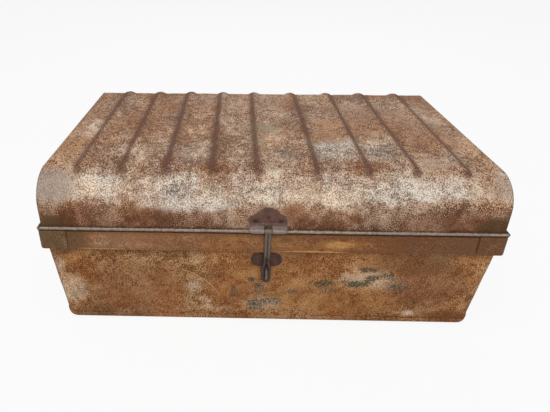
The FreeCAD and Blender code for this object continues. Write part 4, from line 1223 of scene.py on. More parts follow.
@dataclass
class Base:
    """Leaning walls, bottom pan, their wear and the painted shadow under the collar."""
    half_width: float = 0.3635
    half_depth: float = WALL_FOOT
    slope: float = WALL_SLOPE
    shoulder: float = 0.172
    shoulder_row: float = 0.0001
    rim_out: float = 0.0083
    low: float = 0.011
    high: float = 0.2115
    corner: float = 0.020
    back_round: float = 0.038
    pan_rim: float = 0.016
    pan_edge: float = 0.010
    plate_place: Point = (-0.005, -0.234, 0.132)
    plate_reach: float = 0.034
    handle_height: float = 0.118
    handle_reach: float = 0.07
    handle_stretch: float = 1.2
    dents: tuple[Dent, ...] = (Dent(0.0012, 0.085, 0.0), Dent(0.0003, 0.02, 3.0))
    end_dent: Dent = Dent(0.0016, 0.1, 21.0)
    dent_band: Band = (0.026, 0.164)
    dent_fades: Band = (0.03, 0.02)
    front_seed: float = 7.0
    back_seed: float = 17.0
    seam_clear: float = 0.026
    wall_rows: int = 34
    rim_rows: int = 7
    wall_columns: int = 180
    end_columns: int = 84
    pan_columns: int = 60
    corner_steps: int = 6
    low_band: Band = (0.004, 0.040)
    # Heights of the painted shadow on the wall under the collar, and of its darkest line just below the hem.
    under_shade_band: Band = (0.145, 0.168)
    shadow_line_band: Band = (0.161, 0.166)
    corner_sides: Band = (0.350, 0.372)
    corner_depths: Band = (0.195, 0.222)
    stains: tuple[Stain, ...] = (
        Stain(Tone.CREAM, (-0.345, -0.226, 0.080), (0.036, 0.09, 0.050), 1.4),
        Stain(Tone.VEIL, (-0.334, -0.226, 0.066), (0.024, 0.09, 0.032), 0.62),
        Stain(Tone.SLATE, (-0.364, -0.210, 0.080), (0.012, 0.09, 0.062), 0.75),
        Stain(Tone.PLUM, (-0.352, -0.230, 0.160), (0.030, 0.09, 0.011), 0.90),
        Stain(Tone.SHADE, (-0.020, -0.226, 0.085), (0.140, 0.09, 0.085), -0.45),
        Stain(Tone.RED, (0.270, -0.226, 0.095), (0.120, 0.09, 0.080), 0.80),
        Stain(Tone.SHADE, (0.290, -0.226, 0.105), (0.110, 0.09, 0.075), 0.40),
        Stain(Tone.CREAM, (-0.357, -0.226, 0.130), (0.016, 0.09, 0.028), 1.1),
        Stain(Tone.CREAM, (-0.128, -0.226, 0.083), (0.026, 0.09, 0.022), 0.65),
        Stain(Tone.CREAM, (-0.115, -0.226, 0.050), (0.040, 0.09, 0.020), 0.45),
        Stain(Tone.CREAM, (-0.070, -0.226, 0.028), (0.050, 0.09, 0.016), 0.45),
        Stain(Tone.CREAM, (-0.260, -0.226, 0.020), (0.060, 0.09, 0.012), 0.35),
        Stain(Tone.CREAM, (-0.155, -0.226, 0.120), (0.090, 0.09, 0.045), 0.12),
        Stain(Tone.RED, (-0.230, -0.226, 0.075), (0.140, 0.09, 0.090), 0.70),
        Stain(Tone.RED, (0.040, -0.226, 0.150), (0.050, 0.09, 0.030), 0.6),
        Stain(Tone.ORANGE, (-0.010, -0.226, 0.090), (0.130, 0.09, 0.090), 0.75),
        Stain(Tone.ORANGE, (0.130, -0.226, 0.055), (0.140, 0.09, 0.060), 0.70),
        Stain(Tone.ORANGE, (-0.330, -0.226, 0.150), (0.050, 0.09, 0.020), 0.60),
        Stain(Tone.SLATE, (-0.022, -0.229, 0.042), (0.025, 0.09, 0.028), 1.15),
        Stain(Tone.SLATE, (0.010, -0.229, 0.052), (0.032, 0.09, 0.020), 0.95),
        Stain(Tone.SLATE, (-0.058, -0.230, 0.070), (0.014, 0.09, 0.036), 1.00),
        Stain(Tone.SLATE, (-0.016, -0.230, 0.077), (0.030, 0.09, 0.018), 1.05),
        Stain(Tone.SLATE, (-0.028, -0.232, 0.103), (0.014, 0.09, 0.010), 1.20),
        Stain(Tone.SLATE, (-0.015, -0.231, 0.091), (0.016, 0.09, 0.010), 1.20),
        Stain(Tone.SLATE, (0.048, -0.230, 0.073), (0.028, 0.09, 0.013), 1.15),
        Stain(Tone.SLATE, (0.083, -0.231, 0.094), (0.024, 0.09, 0.013), 0.95),
        Stain(Tone.CREAM, (-0.010, -0.229, 0.047), (0.050, 0.09, 0.026), 0.85),
        Stain(Tone.CREAM, (-0.015, -0.230, 0.084), (0.026, 0.09, 0.014), 0.60),
        Stain(Tone.CREAM, (0.165, -0.231, 0.105), (0.080, 0.09, 0.036), 0.60),
        Stain(Tone.CREAM, (0.212, -0.231, 0.098), (0.050, 0.09, 0.030), 0.55),
        Stain(Tone.VEIL, (0.140, -0.231, 0.109), (0.036, 0.09, 0.019), 0.66),
        Stain(Tone.VEIL, (0.190, -0.231, 0.121), (0.034, 0.09, 0.016), 0.58),
        Stain(Tone.OLIVE, (0.154, -0.231, 0.0945), (0.034, 0.09, 0.012), 1.60),
        Stain(Tone.OLIVE, (0.177, -0.231, 0.1085), (0.020, 0.09, 0.013), 1.55),
        Stain(Tone.OLIVE, (0.169, -0.232, 0.1285), (0.028, 0.09, 0.010), 1.40),
        Stain(Tone.OLIVE, (0.096, -0.231, 0.096), (0.034, 0.09, 0.013), 1.45),
        Stain(Tone.OLIVE, (0.202, -0.231, 0.116), (0.026, 0.09, 0.012), 1.30),
        Stain(Tone.SLATE, (0.209, -0.231, 0.112), (0.040, 0.09, 0.014), 1.05),
        Stain(Tone.SLATE, (0.220, -0.230, 0.089), (0.038, 0.09, 0.016), 1.15),
        Stain(Tone.SLATE, (0.106, -0.230, 0.081), (0.026, 0.09, 0.018), 0.8),
        Stain(Tone.CREAM, (0.252, -0.224, 0.027), (0.013, 0.09, 0.009), 1.9),
        Stain(Tone.PLUM, (0.235, -0.226, 0.142), (0.130, 0.09, 0.036), 0.65),
        Stain(Tone.PLUM, (0.320, -0.226, 0.024), (0.060, 0.09, 0.014), 0.80),
        Stain(Tone.PLUM, (-0.310, -0.226, 0.018), (0.060, 0.09, 0.022), 0.70),
        Stain(Tone.ORANGE, (0.120, 0.232, 0.080), (0.180, 0.06, 0.080), 0.70),
        Stain(Tone.RED, (-0.180, 0.232, 0.100), (0.170, 0.06, 0.080), 0.70),
        Stain(Tone.CREAM, (0.250, 0.232, 0.060), (0.080, 0.06, 0.040), 0.75),
        Stain(Tone.CREAM, (-0.080, 0.232, 0.110), (0.110, 0.06, 0.024), 0.55),
        Stain(Tone.PLUM, (0.250, 0.236, 0.150), (0.060, 0.06, 0.045), 0.70),
        Stain(Tone.PLUM, (-0.250, 0.236, 0.150), (0.060, 0.06, 0.045), 0.70),
        Stain(Tone.SLATE, (0.040, 0.232, 0.060), (0.060, 0.06, 0.022), 0.85),
        Stain(Tone.PLUM, (0.372, 0.000, 0.075), (0.04, 0.085, 0.045), 0.80),
        Stain(Tone.PLUM, (-0.372, 0.000, 0.075), (0.04, 0.085, 0.045), 0.80),
        Stain(Tone.CREAM, (0.368, 0.120, 0.070), (0.04, 0.060, 0.050), 0.70),
        Stain(Tone.CREAM, (-0.368, 0.150, 0.060), (0.04, 0.050, 0.040), 0.80),
        Stain(Tone.ORANGE, (0.368, -0.120, 0.090), (0.04, 0.090, 0.060), 0.70),
        Stain(Tone.ORANGE, (-0.368, 0.060, 0.120), (0.04, 0.120, 0.040), 0.60),
        Stain(Tone.RED, (-0.368, -0.130, 0.080), (0.04, 0.090, 0.060), 0.70),
    )

    def lean(self, bm: Mesh, proud: float = 0.0) -> None:
        """Leans upright walls out to the shoulder, sets the rim back, and keeps their corners round.

        Args:
            bm: Walls drawn upright at floor size.
            proud: How far these walls stand outside the visible wall face.
        """
        x_line = self.half_width - self.corner
        y_line = self.half_depth - self.corner
        for vert in bm.verts:
            out = self.out(vert.co.z, 0.0) + proud
            vert.co.x += out * max(-1.0, min(1.0, vert.co.x / x_line))
            vert.co.y += out * max(-1.0, min(1.0, vert.co.y / y_line))

    def out(self, z: float, drop: float) -> float:
        """How far a wall stands out from its floor size, with its shoulder lowered by drop."""
        return self.slope * z if z < self.shoulder - drop + self.shoulder_row / 2.0 else self.rim_out

    def rise(self, pen: Pen, drop: float) -> Pen:
        """Draws a wall's upright edge from its foot to the rim, with a row each side of the shoulder.

        Args:
            pen: Stands at the foot.
            drop: How far the shoulder is lowered.

        Returns:
            The pen, with the edge ready to sweep.
        """
        x, y = pen.tip.co.xy
        pen.line((x, y, self.shoulder - drop), self.wall_rows)
        pen.line((x, y, self.shoulder - drop + self.shoulder_row))
        return pen.line((x, y, self.high), self.rim_rows).lift()

    def hold(self, z: float) -> float:
        """How far dents show at one height: not at the pan's rim, and not under the collar."""
        low, high = self.dent_band
        return clamp(min((z - low) / self.dent_fades[0], (high - z) / self.dent_fades[1]))

    def batter(self, bm: Mesh, seed: float) -> None:
        """Dents the walls lightly between the pan's rim and the collar, but not under the lock's plate.

        Args:
            bm: The walls.
            seed: Which pattern.
        """
        bm.normal_update()
        for vert in bm.verts:
            plate = (vert.co - Vector(self.plate_place)).length / self.plate_reach
            hold = min(self.hold(vert.co.z), clamp(2.0 * (plate - 1.0)))
            depth = sum(dent.at(vert.co, seed) for dent in self.dents)
            vert.co += vert.normal * hold * depth

    def long_wall(self, face: Face, finishes: Sequence[Material]) -> Piece:
        """Models the front or back wall, wrapped round both corners.

        Args:
            face: Which long side.
            finishes: Outer and inner material.

        Returns:
            The wall.
        """
        x_line = self.half_width - self.corner
        y_line = self.half_depth - self.corner
        past = self.back_round - self.corner
        pen = self.rise(Pen((self.half_width, -y_line + past, self.low)), 0.0)
        pen.run((0.0, -past, 0.0), self.corner_steps)
        pen.turn((x_line, -y_line, 0.0), Z_AXIS, -90.0, self.corner_steps)
        pen.run((-2.0 * x_line, 0.0, 0.0), self.wall_columns)
        pen.turn((-x_line, -y_line, 0.0), Z_AXIS, -90.0, self.corner_steps)
        pen.run((0.0, past, 0.0), self.corner_steps)
        self.lean(pen.bm)
        self.batter(pen.bm, self.front_seed if face is Face.FRONT else self.back_seed)
        if face is Face.BACK:
            half_turn(pen.bm)
        name = f"{face.name.lower()}_wall_sheet"
        return sheet_object(pen.bm, name, lambda place: Vector((0.3 * place.x, place.y, 0.0)), finishes)

    def end_wall(self, side: Side, finishes: Sequence[Material]) -> Piece:
        """Models the flat wall of one end.

        Args:
            side: Which end.
            finishes: Outer and inner material.

        Returns:
            The wall.
        """
        inset = SHEET + LAP_GAP
        reach = self.half_depth - self.corner + self.slope * self.low
        pen = self.rise(Pen((self.half_width - inset, -reach, self.low)), inset)
        pen.run((0.0, 2.0 * reach, 0.0), self.end_columns)
        for vert in pen.bm.verts:
            middle = 1.0 - min(1.0, (abs(vert.co.y) / (reach - self.seam_clear)) ** 4)
            depth = self.end_dent.at(vert.co * side.value) * middle
            handle = math.hypot(vert.co.y / self.handle_stretch, vert.co.z - self.handle_height)
            hold = self.hold(vert.co.z) * clamp((handle - self.handle_reach) / self.dent_fades[0])
            vert.co.x = side.value * (vert.co.x + self.out(vert.co.z, inset) + hold * depth)
        return sheet_object(pen.bm, f"{side.name.lower()}_wall_sheet",
                            lambda place: Vector((side.value, 0.0, 0.0)), finishes)

    def pan(self, finishes: Sequence[Material]) -> Piece:
        """Models the bottom pan with its rounded edge and upturned rim.

        Args:
            finishes: Outer and inner material.

        Returns:
            The pan.
        """
        proud = SHEET + LAP_GAP
        bm = bmesh.new()
        bmesh.ops.create_cube(bm, size=1.0)
        bmesh.ops.scale(bm, verts=bm.verts[:],
                        vec=(2.0 * self.half_width, 2.0 * self.half_depth, self.pan_rim))
        bmesh.ops.translate(bm, verts=bm.verts[:], vec=(0.0, 0.0, self.pan_rim / 2.0))
        mouth = [face for face in bm.faces if face.normal.z > 0.9]
        bmesh.ops.delete(bm, geom=mouth, context="FACES_ONLY")
        upright = [edge for edge in bm.edges if edge.verts[0].co.xy == edge.verts[1].co.xy]
        bmesh.ops.bevel(bm, geom=upright, offset=self.corner, offset_type="OFFSET", affect="EDGES",
                        segments=self.corner_steps, profile=0.5, material=-1)
        around = [edge for edge in bm.edges if all(vert.co.z < TINY for vert in edge.verts)]
        bmesh.ops.bevel(bm, geom=around, offset=self.pan_edge, offset_type="OFFSET", affect="EDGES",
                        segments=self.corner_steps, profile=0.5, material=-1)
        long_edges = [edge for edge in bm.edges if edge.calc_length() > self.half_depth]
        bmesh.ops.subdivide_edges(bm, edges=long_edges, cuts=self.pan_columns, use_grid_fill=True)
        self.lean(bm, proud)
        middle = Vector((0.0, 0.0, 0.02))
        return sheet_object(bm, "bottom_pan_sheet", lambda place: place - middle, finishes)

    def wear(self, piece: Piece) -> None:
        """Paints a base piece: darker low down and at the corners, and a painted shadow under the collar.

        Args:
            piece: A wall or the pan.
        """
        x, y, z = places_of(piece).T
        low = 1.0 - ramp(z, *self.low_band)
        # Painted shadow on the wall under the collar, darkest in a line just below its hem.
        under = ramp(z, *self.under_shade_band)
        line = ramp(z, *self.shadow_line_band)
        corner = ramp(np.abs(x), *self.corner_sides) * ramp(np.abs(y), *self.corner_depths)
        paint(piece, self.stains, {
            Tone.PLUM: 0.30 * low + 0.28 * under + 0.45 * line + 0.25 * corner,
            Tone.CREAM: 0.10 * low + 0.20 * corner,
        })

    def build(self) -> list[Piece]:
        """Models and dresses the base.

        Returns:
            The walls and the pan.
        """
        finishes = (BASE_RUST.material(), INNER_RUST.material())
        made = {
            "front_panel": self.long_wall(Face.FRONT, finishes),
            "back_panel": self.long_wall(Face.BACK, finishes),
            "left_end_panel": self.end_wall(Side.LEFT, finishes),
            "right_end_panel": self.end_wall(Side.RIGHT, finishes),
            "bottom_pan": self.pan(finishes),
        }
        for node, piece in made.items():
            self.wear(piece)
            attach(piece, "base")
            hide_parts(node)
        return list(made.values())


@dataclass
class Collar:
    """Front and back collar strips; the end wraps keep their solid shape."""
    half_width: float = 0.381
    half_depth: float = 0.2415
    ledge: float = 0.2035
    height: float = 0.035
    bend: float = 0.002
    hem: float = 0.007
    hem_proud: float = 0.0008
    hem_edge: float = 0.001
    hem_axis: float = 0.0003
    hem_roll: float = 160.0
    gauge: float = 0.0008
    flange_steps: int = 2
    bend_steps: int = 4
    skirt_steps: int = 8
    columns: int = 160
    waver: Dent = Dent(0.0007, 0.07, 31.0)
    hem_waver: Dent = Dent(0.0009, 0.11, 37.0)
    waver_depth: float = 0.004
    waver_fade: float = 0.05
    rub_to: Band = (0.0035, 0.0065)
    rub_from: Band = (-0.001, 0.002)
    fold_band: Band = (0.0008, 0.0028)
    crease_height: float = 0.004
    crease_band: Band = (0.0006, 0.0022)
    # Heights of the painted shade along the top, under the lid's rolled edge.
    top_band: Band = (-0.010, -0.002)
    wrap_return: float = 0.047
    flange: float = 0.016
    wall_line: float = 0.2332
    stains: tuple[Stain, ...] = (
        # Painted highlight: a golden sheen on the front strip.
        Stain(Tone.ORANGE, (0.110, -0.240, 0.183), (0.060, 0.02, 0.014), 1.0),
        Stain(Tone.BARE, (0.112, -0.240, 0.184), (0.034, 0.02, 0.011), 1.10),
        # Rubbed bare hem, with a painted highlight along it.
        Stain(Tone.BARE, (0.078, -0.240, 0.1697), (0.068, 0.02, 0.0046), 1.25),
        Stain(Tone.BARE, (-0.272, -0.240, 0.1695), (0.055, 0.02, 0.0034), 0.85),
        Stain(Tone.ORANGE, (0.000, -0.240, 0.185), (0.260, 0.02, 0.040), 0.55),
        Stain(Tone.SLATE, (0.095, -0.240, 0.192), (0.012, 0.02, 0.004), 1.0),
        Stain(Tone.SHADE, (-0.170, -0.240, 0.188), (0.250, 0.02, 0.060), -0.85),
        Stain(Tone.CREAM, (-0.240, -0.240, 0.187), (0.130, 0.02, 0.040), 0.80),
        Stain(Tone.PLUM, (0.260, -0.240, 0.190), (0.110, 0.02, 0.030), 0.60),
        Stain(Tone.DARK, (-0.335, -0.240, 0.185), (0.055, 0.03, 0.050), 0.95),
        Stain(Tone.DARK, (0.335, -0.240, 0.185), (0.070, 0.03, 0.050), 0.60),
        Stain(Tone.DARK, (0.028, -0.240, 0.193), (0.022, 0.02, 0.008), 0.62),
        Stain(Tone.RED, (-0.220, -0.240, 0.192), (0.080, 0.02, 0.016), 0.65),
    )

    def strip(self, face: Face, finishes: Sequence[Material]) -> Piece:
        """Models the front or back strip: inner flange, ledge, bend, skirt and hem.

        Args:
            face: Which long side.
            finishes: Outer and inner material.

        Returns:
            The strip.
        """
        half = self.half_width - self.wrap_return - LAP_GAP
        top = self.ledge - SHEET - LAP_GAP
        skirt_y = -self.half_depth + SHEET + LAP_GAP
        foot = self.ledge - self.height
        pen = Pen((-half, -self.wall_line, top - self.flange))
        pen.line((-half, -self.wall_line, top), self.flange_steps)
        pen.line((-half, skirt_y + self.bend, top), self.flange_steps)
        pen.arc((0.0, skirt_y + self.bend, top - self.bend), X_AXIS, 90.0, self.bend_steps)
        pen.line((-half, skirt_y, foot + self.hem + self.hem_edge), self.skirt_steps)
        pen.line((-half, skirt_y - self.hem_proud, foot + self.hem))
        pen.line((-half, skirt_y - self.hem_proud, foot + self.hem_edge), self.bend_steps)
        pen.arc((0.0, skirt_y + self.hem_axis, foot + self.hem_edge), X_AXIS, self.hem_roll, self.bend_steps)
        pen.lift().run((2.0 * half, 0.0, 0.0), self.columns)
        for vert in pen.bm.verts:
            if vert.co.y < skirt_y + self.waver_depth:
                down = (top - vert.co.z) / self.height
                free = min(1.0, (half - abs(vert.co.x)) / self.waver_fade)
                vert.co.y += self.waver.at(vert.co) * down * free
                vert.co.z += self.hem_waver.at(Vector((vert.co.x, 0.0, 0.0))) * down * free
        if face is Face.BACK:
            half_turn(pen.bm)
        name = f"collar_{face.name.lower()}_sheet"
        out = Vector((0.0, face.value, 0.5))
        return sheet_object(pen.bm, name, lambda place: out, finishes, self.gauge)

    def wear(self, piece: Piece) -> None:
        """Paints a strip: a rubbed hem with a painted highlight, and painted shade along the top under the
        lid's rolled edge.

        Args:
            piece: The strip.
        """
        up = places_of(piece)[:, 2] - self.ledge + self.height
        # Rubbed hem, with a painted highlight on it.
        hem = (1.0 - ramp(up, *self.rub_to)) * ramp(up, *self.rub_from)
        fold = 1.0 - ramp(np.abs(up - self.hem - self.hem_edge), *self.fold_band)
        crease = 1.0 - ramp(np.abs(up - self.crease_height), *self.crease_band)
        # Painted shade along the top of the strip, under the lid's rolled edge.
        top = ramp(up - self.height, *self.top_band)
        paint(piece, self.stains, {
            Tone.BARE: 0.10 * hem,
            Tone.PLUM: 0.35 * fold + 0.60 * top + 0.55 * crease,
            Tone.CREAM: -0.35,
        })

    def build(self) -> list[Piece]:
        """Models and dresses the strips, and dresses the wraps.

        Returns:
            The strips.
        """
        finishes = (COLLAR_RUST.material(), INNER_RUST.material())
        made = {
            "collar_front_strip": self.strip(Face.FRONT, finishes),
            "collar_back_strip": self.strip(Face.BACK, finishes),
        }
        for node, piece in made.items():
            self.wear(piece)
            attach(piece, "base")
            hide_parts(node)
        dress(("collar_left_wrap",), LEFT_WRAP_RUST.material())
        dress(("collar_right_wrap",), RIGHT_WRAP_RUST.material())
        return list(made.values())


def dress(nodes: Sequence[str], finish: Material) -> None:
    """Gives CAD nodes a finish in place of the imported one.

    Args:
        nodes: Names of the nodes.
        finish: Their new material.
    """
    for node in nodes:
        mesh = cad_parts[node].data
        mesh.materials.clear()
        mesh.materials.append(finish)


@dataclass
class Lock:
    """Bell-shaped latch plate with its rolled barrel, and the lobed plate behind the staple."""
    offset: float = -0.005
    gauge: float = 0.0015
    lid_face: float = -LID_FACE
    half_length: float = 0.03025
    foot: float = 0.2190
    shoulder: float = 0.00775
    shoulder_height: float = 0.2272
    crown: float = 0.014
    crown_height: float = 0.2366
    slant: float = 37.0
    eased: float = 0.0004
    eased_steps: int = 2
    shoulder_steps: int = 8
    crown_steps: int = 12
    barrel_y: float = -0.2461
    barrel_z: float = 0.2135
    barrel: float = 0.0045
    half_slot: float = 0.0064
    slot_top: float = 0.2192
    lip_gauge: float = 0.0010
    lip_top: float = 0.0042
    lip_bend: Band = (0.0012, 0.0030)
    web_end: Band = (0.0040, 0.0014)
    lip_steps: int = 4
    lip_bend_steps: int = 2
    lip_columns: int = 24
    web_columns: int = 6
    barrel_turn: float = 250.0
    barrel_steps: int = 20
    round_from: float = 0.0225
    round_share: float = 0.38
    round_power: float = 2.2
    round_clear: float = 0.001
    wall_foot: float = WALL_FOOT
    slope: float = WALL_SLOPE
    tongue: float = 0.008
    tongue_height: float = 0.1142
    neck: float = 0.1315
    lobe: float = 0.0142
    lobe_spread: float = 0.0118
    lobe_height: float = 0.1488
    lobe_turn: float = 221.5
    lobe_end: float = 120.0
    lobe_steps: int = 24
    tongue_steps: int = 8

    def plate_object(self, pen: Pen, name: str, finish: Material) -> Piece:
        """Fills a drawn outline and makes it a plate with eased edges.

        Args:
            pen: The closed outline.
            name: Name of the piece.
            finish: Its material.

        Returns:
            The plate.
        """
        bmesh.ops.remove_doubles(pen.bm, verts=pen.bm.verts[:], dist=TINY)
        bmesh.ops.contextual_create(pen.bm, geom=pen.bm.edges[:])
        bmesh.ops.translate(pen.bm, verts=pen.bm.verts[:], vec=(self.offset, 0.0, 0.0))
        piece = sheet_object(pen.bm, name, lambda place: Vector(TO_FRONT), (finish,), self.gauge)
        piece.data.shade_flat()
        ease = piece.modifiers.new("eased_edge", "BEVEL")
        ease.width = self.eased
        ease.segments = self.eased_steps
        return piece

    def latch_plate(self, finish: Material) -> Piece:
        """Models the bell-shaped plate on the lid.

        Args:
            finish: Its material.

        Returns:
            The plate.
        """
        y = self.lid_face - self.gauge
        side = self.half_length - self.shoulder
        turn = math.radians(90.0 - self.slant)
        across, up = math.cos(turn), math.sin(turn)
        pen = Pen((self.half_length, y, self.foot))
        pen.line((self.half_length, y, self.shoulder_height))
        pen.arc((side, y, self.shoulder_height), TO_FRONT, 90.0 - self.slant, self.shoulder_steps)
        pen.line((self.crown * across, y, self.crown_height + self.crown * up))
        pen.arc((0.0, y, self.crown_height), TO_FRONT, 2.0 * self.slant, self.crown_steps)
        pen.line((-side - self.shoulder * across, y, self.shoulder_height + self.shoulder * up))
        pen.arc((-side, y, self.shoulder_height), TO_FRONT, 90.0 - self.slant, self.shoulder_steps)
        pen.line((-self.half_length, y, self.foot))
        pen.line((self.half_length, y, self.foot))
        return self.plate_object(pen, "latch_bell_plate", finish)

    def lip(self, start: float) -> Pen:
        """Starts a length of the lip at the plate's face and draws its bend.

        Args:
            start: Where it starts, across the lid.

        Returns:
            The pen, at the end of the bend.
        """
        face = self.lid_face - self.gauge
        out, up = self.lip_bend
        pen = Pen((start, face, self.slot_top + self.lip_top))
        return pen.line((start, face - out, self.slot_top + up), self.lip_bend_steps)

    def barrel_sheet(self, finish: Material) -> Piece:
        """Models the plate's lip, rolled round the pin in two lengths, and the web over the slot.

        Args:
            finish: Its material.

        Returns:
            The lip and the web, as one piece.
        """
        pens = []
        for start, end in ((-self.half_length, -self.half_slot), (self.half_slot, self.half_length)):
            pen = self.lip(start).line((start, self.barrel_y, self.barrel_z + self.barrel), self.lip_steps)
            pen.arc((start, self.barrel_y, self.barrel_z), X_AXIS, self.barrel_turn, self.barrel_steps)
            pens.append(pen.lift().run((end - start, 0.0, 0.0), self.lip_columns))
        out, up = self.web_end
        web = self.lip(-self.half_slot)
        web.line((-self.half_slot, self.lid_face - self.gauge - out, self.slot_top + up), self.lip_bend_steps)
        pens.append(web.lift().run((2.0 * self.half_slot, 0.0, 0.0), self.web_columns))
        bm = pens[0].bm
        for pen in pens[1:]:
            spare = bpy.data.meshes.new("spare")
            pen.bm.to_mesh(spare)
            pen.bm.free()
            bm.from_mesh(spare)
            bpy.data.meshes.remove(spare)
        axis = Vector((0.0, self.barrel_y, self.barrel_z))
        for vert in bm.verts:
            share = max(0.0, (abs(vert.co.x) - self.round_from) / (self.half_length - self.round_from))
            arm = Vector((0.0, vert.co.y, vert.co.z)) - axis
            if arm.y < self.round_clear and arm.length < self.barrel + self.round_clear:
                vert.co -= self.round_share * share ** self.round_power * arm
        bmesh.ops.translate(bm, verts=bm.verts[:], vec=(self.offset, 0.0, 0.0))
        return sheet_object(bm, "latch_rolled_lip", lambda place: place - axis, (finish,), self.lip_gauge)

    def staple_plate(self, finish: Material) -> Piece:
        """Models the plate of two lobes and a tongue on the leaning front wall.

        Args:
            finish: Its material.

        Returns:
            The plate.
        """
        turns = (math.radians(self.lobe_end - self.lobe_turn), math.radians(self.lobe_end))
        join, dip = ((self.lobe_spread + self.lobe * math.cos(turn),
                      self.lobe_height + self.lobe * math.sin(turn)) for turn in turns)
        pen = Pen((0.0, 0.0, self.tongue_height - self.tongue))
        pen.arc((0.0, 0.0, self.tongue_height), TO_FRONT, 90.0, self.tongue_steps)
        pen.line((self.tongue, 0.0, self.neck))
        pen.line((join[0], 0.0, join[1]))
        pen.arc((self.lobe_spread, 0.0, self.lobe_height), TO_FRONT, self.lobe_turn, self.lobe_steps)
        pen.line((-dip[0], 0.0, dip[1]))
        pen.arc((-self.lobe_spread, 0.0, self.lobe_height), TO_FRONT, self.lobe_turn, self.lobe_steps)
        pen.line((-self.tongue, 0.0, self.neck))
        pen.line((-self.tongue, 0.0, self.tongue_height))
        pen.arc((0.0, 0.0, self.tongue_height), TO_FRONT, 90.0, self.tongue_steps)
        for vert in pen.bm.verts:
            vert.co.y = -self.wall_foot - self.slope * vert.co.z - self.gauge
        return self.plate_object(pen, "staple_lobed_plate", finish)

    def build(self) -> list[Piece]:
        """Models and dresses the lock's plates.

        Returns:
            The plates and the lip.
        """
        latch, plate = LATCH_IRON.material(), PLATE_IRON.material()
        made = [(self.latch_plate(latch), "lid", "hasp_plate"),
                (self.barrel_sheet(latch), "lid", "hasp_plate"),
                (self.staple_plate(plate), "base", "staple_plate")]
        for piece, body, node in made:
            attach(piece, body)
            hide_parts(node)
        dress(("staple_plate_rivets", "hasp_plate_rivets"), plate)
        dress(("hasp_staple",), STAPLE_IRON.material())
        return [row[0] for row in made]


@dataclass
class Fittings:
    """Hasp, hinges, handles and rivets, which keep their solid shapes."""
    hasp: tuple[str, ...] = ("hasp_loop",)
    irons: tuple[str, ...] = (
        "left_handle_plate", "right_handle_plate", "left_handle_lugs", "right_handle_lugs",
        "left_handle_bail", "right_handle_bail", "left_hinge_base_leaf", "right_hinge_base_leaf",
        "left_hinge_lid_leaf", "right_hinge_lid_leaf")
    rivets: tuple[str, ...] = (
        "base_seam_rivets", "collar_rivets", "handle_plate_rivets", "hinge_base_rivets", "hinge_lid_rivets")
    wires: tuple[str, ...] = ("lid_edge_wire", "left_hinge_pin", "right_hinge_pin", "hasp_pivot_pin")

    def build(self) -> list[Piece]:
        """Dresses the fittings.

        Returns:
            Nothing, since no piece is new.
        """
        for nodes, finish in ((self.hasp, HASP_IRON), (self.irons, FITTING_IRON), (self.rivets, RIVET_IRON),
                              (self.wires, WIRE_STEEL)):
            dress(nodes, finish.material())
        return []


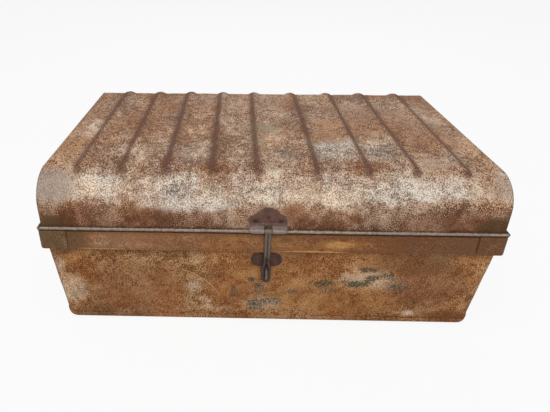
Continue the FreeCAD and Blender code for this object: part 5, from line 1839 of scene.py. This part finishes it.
@dataclass
class Studio:
    """Pale floor, soft light and the camera."""
    focal: float = 461.75
    eye: Point = (-0.058235, -0.854593, 0.644686)
    yaw: float = -0.0234
    pitch: float = 0.4478
    roll: float = 0.0016
    axis_pixel: tuple[float, float] = (226.0, 152.0)
    lamps: tuple[tuple[str, Point, float, float], ...] = (
        ("key_softbox", (-0.5, -1.2, 2.4), 2.2, 34.0),
        ("front_softbox", (0.7, -2.8, 1.0), 2.0, 15.0),
        ("rear_softbox", (0.3, 2.2, 2.0), 2.0, 14.0),
    )
    aim: Point = (0.0, 0.0, 0.15)
    sensor: float = 36.0
    nearest: float = 0.01
    white: Colour = (1.0, 1.0, 1.0)
    all_round: float = 0.32
    background: float = 1.0
    floor_grey: Colour = (0.86, 0.86, 0.86)
    floor_white: float = 0.9
    floor_size: float = 9.0
    floor_drop: float = 0.0005

    def camera(self) -> None:
        """Sets the camera up as the photograph was taken."""
        ahead = Vector((math.sin(self.yaw), math.cos(self.yaw), 0.0))
        forward = math.cos(self.pitch) * ahead - math.sin(self.pitch) * Vector(Z_AXIS)
        level = Vector((math.cos(self.yaw), -math.sin(self.yaw), 0.0))
        down = forward.cross(level)
        right = math.cos(self.roll) * level - math.sin(self.roll) * down
        up = -(math.sin(self.roll) * level + math.cos(self.roll) * down)
        data = bpy.data.cameras.new("camera")
        data.sensor_width = self.sensor
        data.lens = self.focal * data.sensor_width / PHOTO_WIDTH
        data.shift_x = (PHOTO_WIDTH / 2.0 - self.axis_pixel[0]) / PHOTO_WIDTH
        data.shift_y = (self.axis_pixel[1] - PHOTO_HEIGHT / 2.0) / PHOTO_WIDTH
        data.clip_start = self.nearest
        camera = bpy.data.objects.new("camera", data)
        turn = Matrix((right, up, -forward)).transposed().to_4x4()
        camera.matrix_world = Matrix.Translation(self.eye) @ turn
        bpy.context.scene.collection.objects.link(camera)
        bpy.context.scene.camera = camera

    def light(self) -> None:
        """Hangs the softboxes, each turned to the trunk."""
        for name, place, size, power in self.lamps:
            data = bpy.data.lights.new(name, "AREA")
            data.size = size
            data.energy = power
            lamp = bpy.data.objects.new(name, data)
            lamp.location = place
            lamp.rotation_euler = (Vector(self.aim) - Vector(place)).to_track_quat("-Z", "Y").to_euler()
            bpy.context.scene.collection.objects.link(lamp)

    def seen(self, g: Graph) -> Socket:
        """Share of rays that show the white background: seen straight, in gloss or through glass.

        Args:
            g: Nodes of the floor or the world.

        Returns:
            The share.
        """
        path = g.add("ShaderNodeLightPath").outputs
        either = g.math("MAXIMUM", path["Is Camera Ray"], path["Is Glossy Ray"])
        return g.math("MAXIMUM", either, path["Is Transmission Ray"])

    def world(self) -> None:
        """Soft all-round light with a white background."""
        world = bpy.data.worlds.new("studio")
        bpy.context.scene.world = world
        g = Graph(world)
        dim, bright = (g.fill("ShaderNodeBackground", Color=self.white, Strength=strength)
                       for strength in (self.all_round, self.background))
        g.end("ShaderNodeOutputWorld", g.blend(self.seen(g), dim, bright))

    def floor(self) -> None:
        """Lays a wide pale floor that keeps a faint shadow."""
        bm = bmesh.new()
        bmesh.ops.create_grid(bm, x_segments=1, y_segments=1, size=self.floor_size)
        mesh = bpy.data.meshes.new("floor")
        bm.to_mesh(mesh)
        bm.free()
        floor = bpy.data.objects.new("floor", mesh)
        floor.location = (0.0, 0.0, -self.floor_drop)
        bpy.context.scene.collection.objects.link(floor)
        g = Graph(bpy.data.materials.new("pale_floor"))
        matt = g.fill("ShaderNodeBsdfDiffuse", Color=self.floor_grey)
        glow = g.fill("ShaderNodeEmission", Color=self.white, Strength=self.background)
        share = g.math("MULTIPLY", self.seen(g), self.floor_white)
        g.end("ShaderNodeOutputMaterial", g.blend(share, matt, glow))
        mesh.materials.append(g.owner)

    def build(self) -> list[Piece]:
        """Sets the studio up.

        Returns:
            Nothing, since no piece is part of the trunk.
        """
        bpy.context.scene.view_settings.view_transform = "Standard"
        self.camera()
        self.light()
        self.world()
        self.floor()
        return []


def main() -> None:
    """Builds the studio and every sub-assembly, and notes the sizes."""
    logging.basicConfig(level=logging.INFO, format="%(message)s")
    for part in (Studio(), Lid(), Base(), Collar(), Lock(), Fittings()):
        for piece in part.build():
            LOG.info("%s: %d vertices", piece.name, len(piece.data.vertices))


if __name__ == "__main__":
    main()
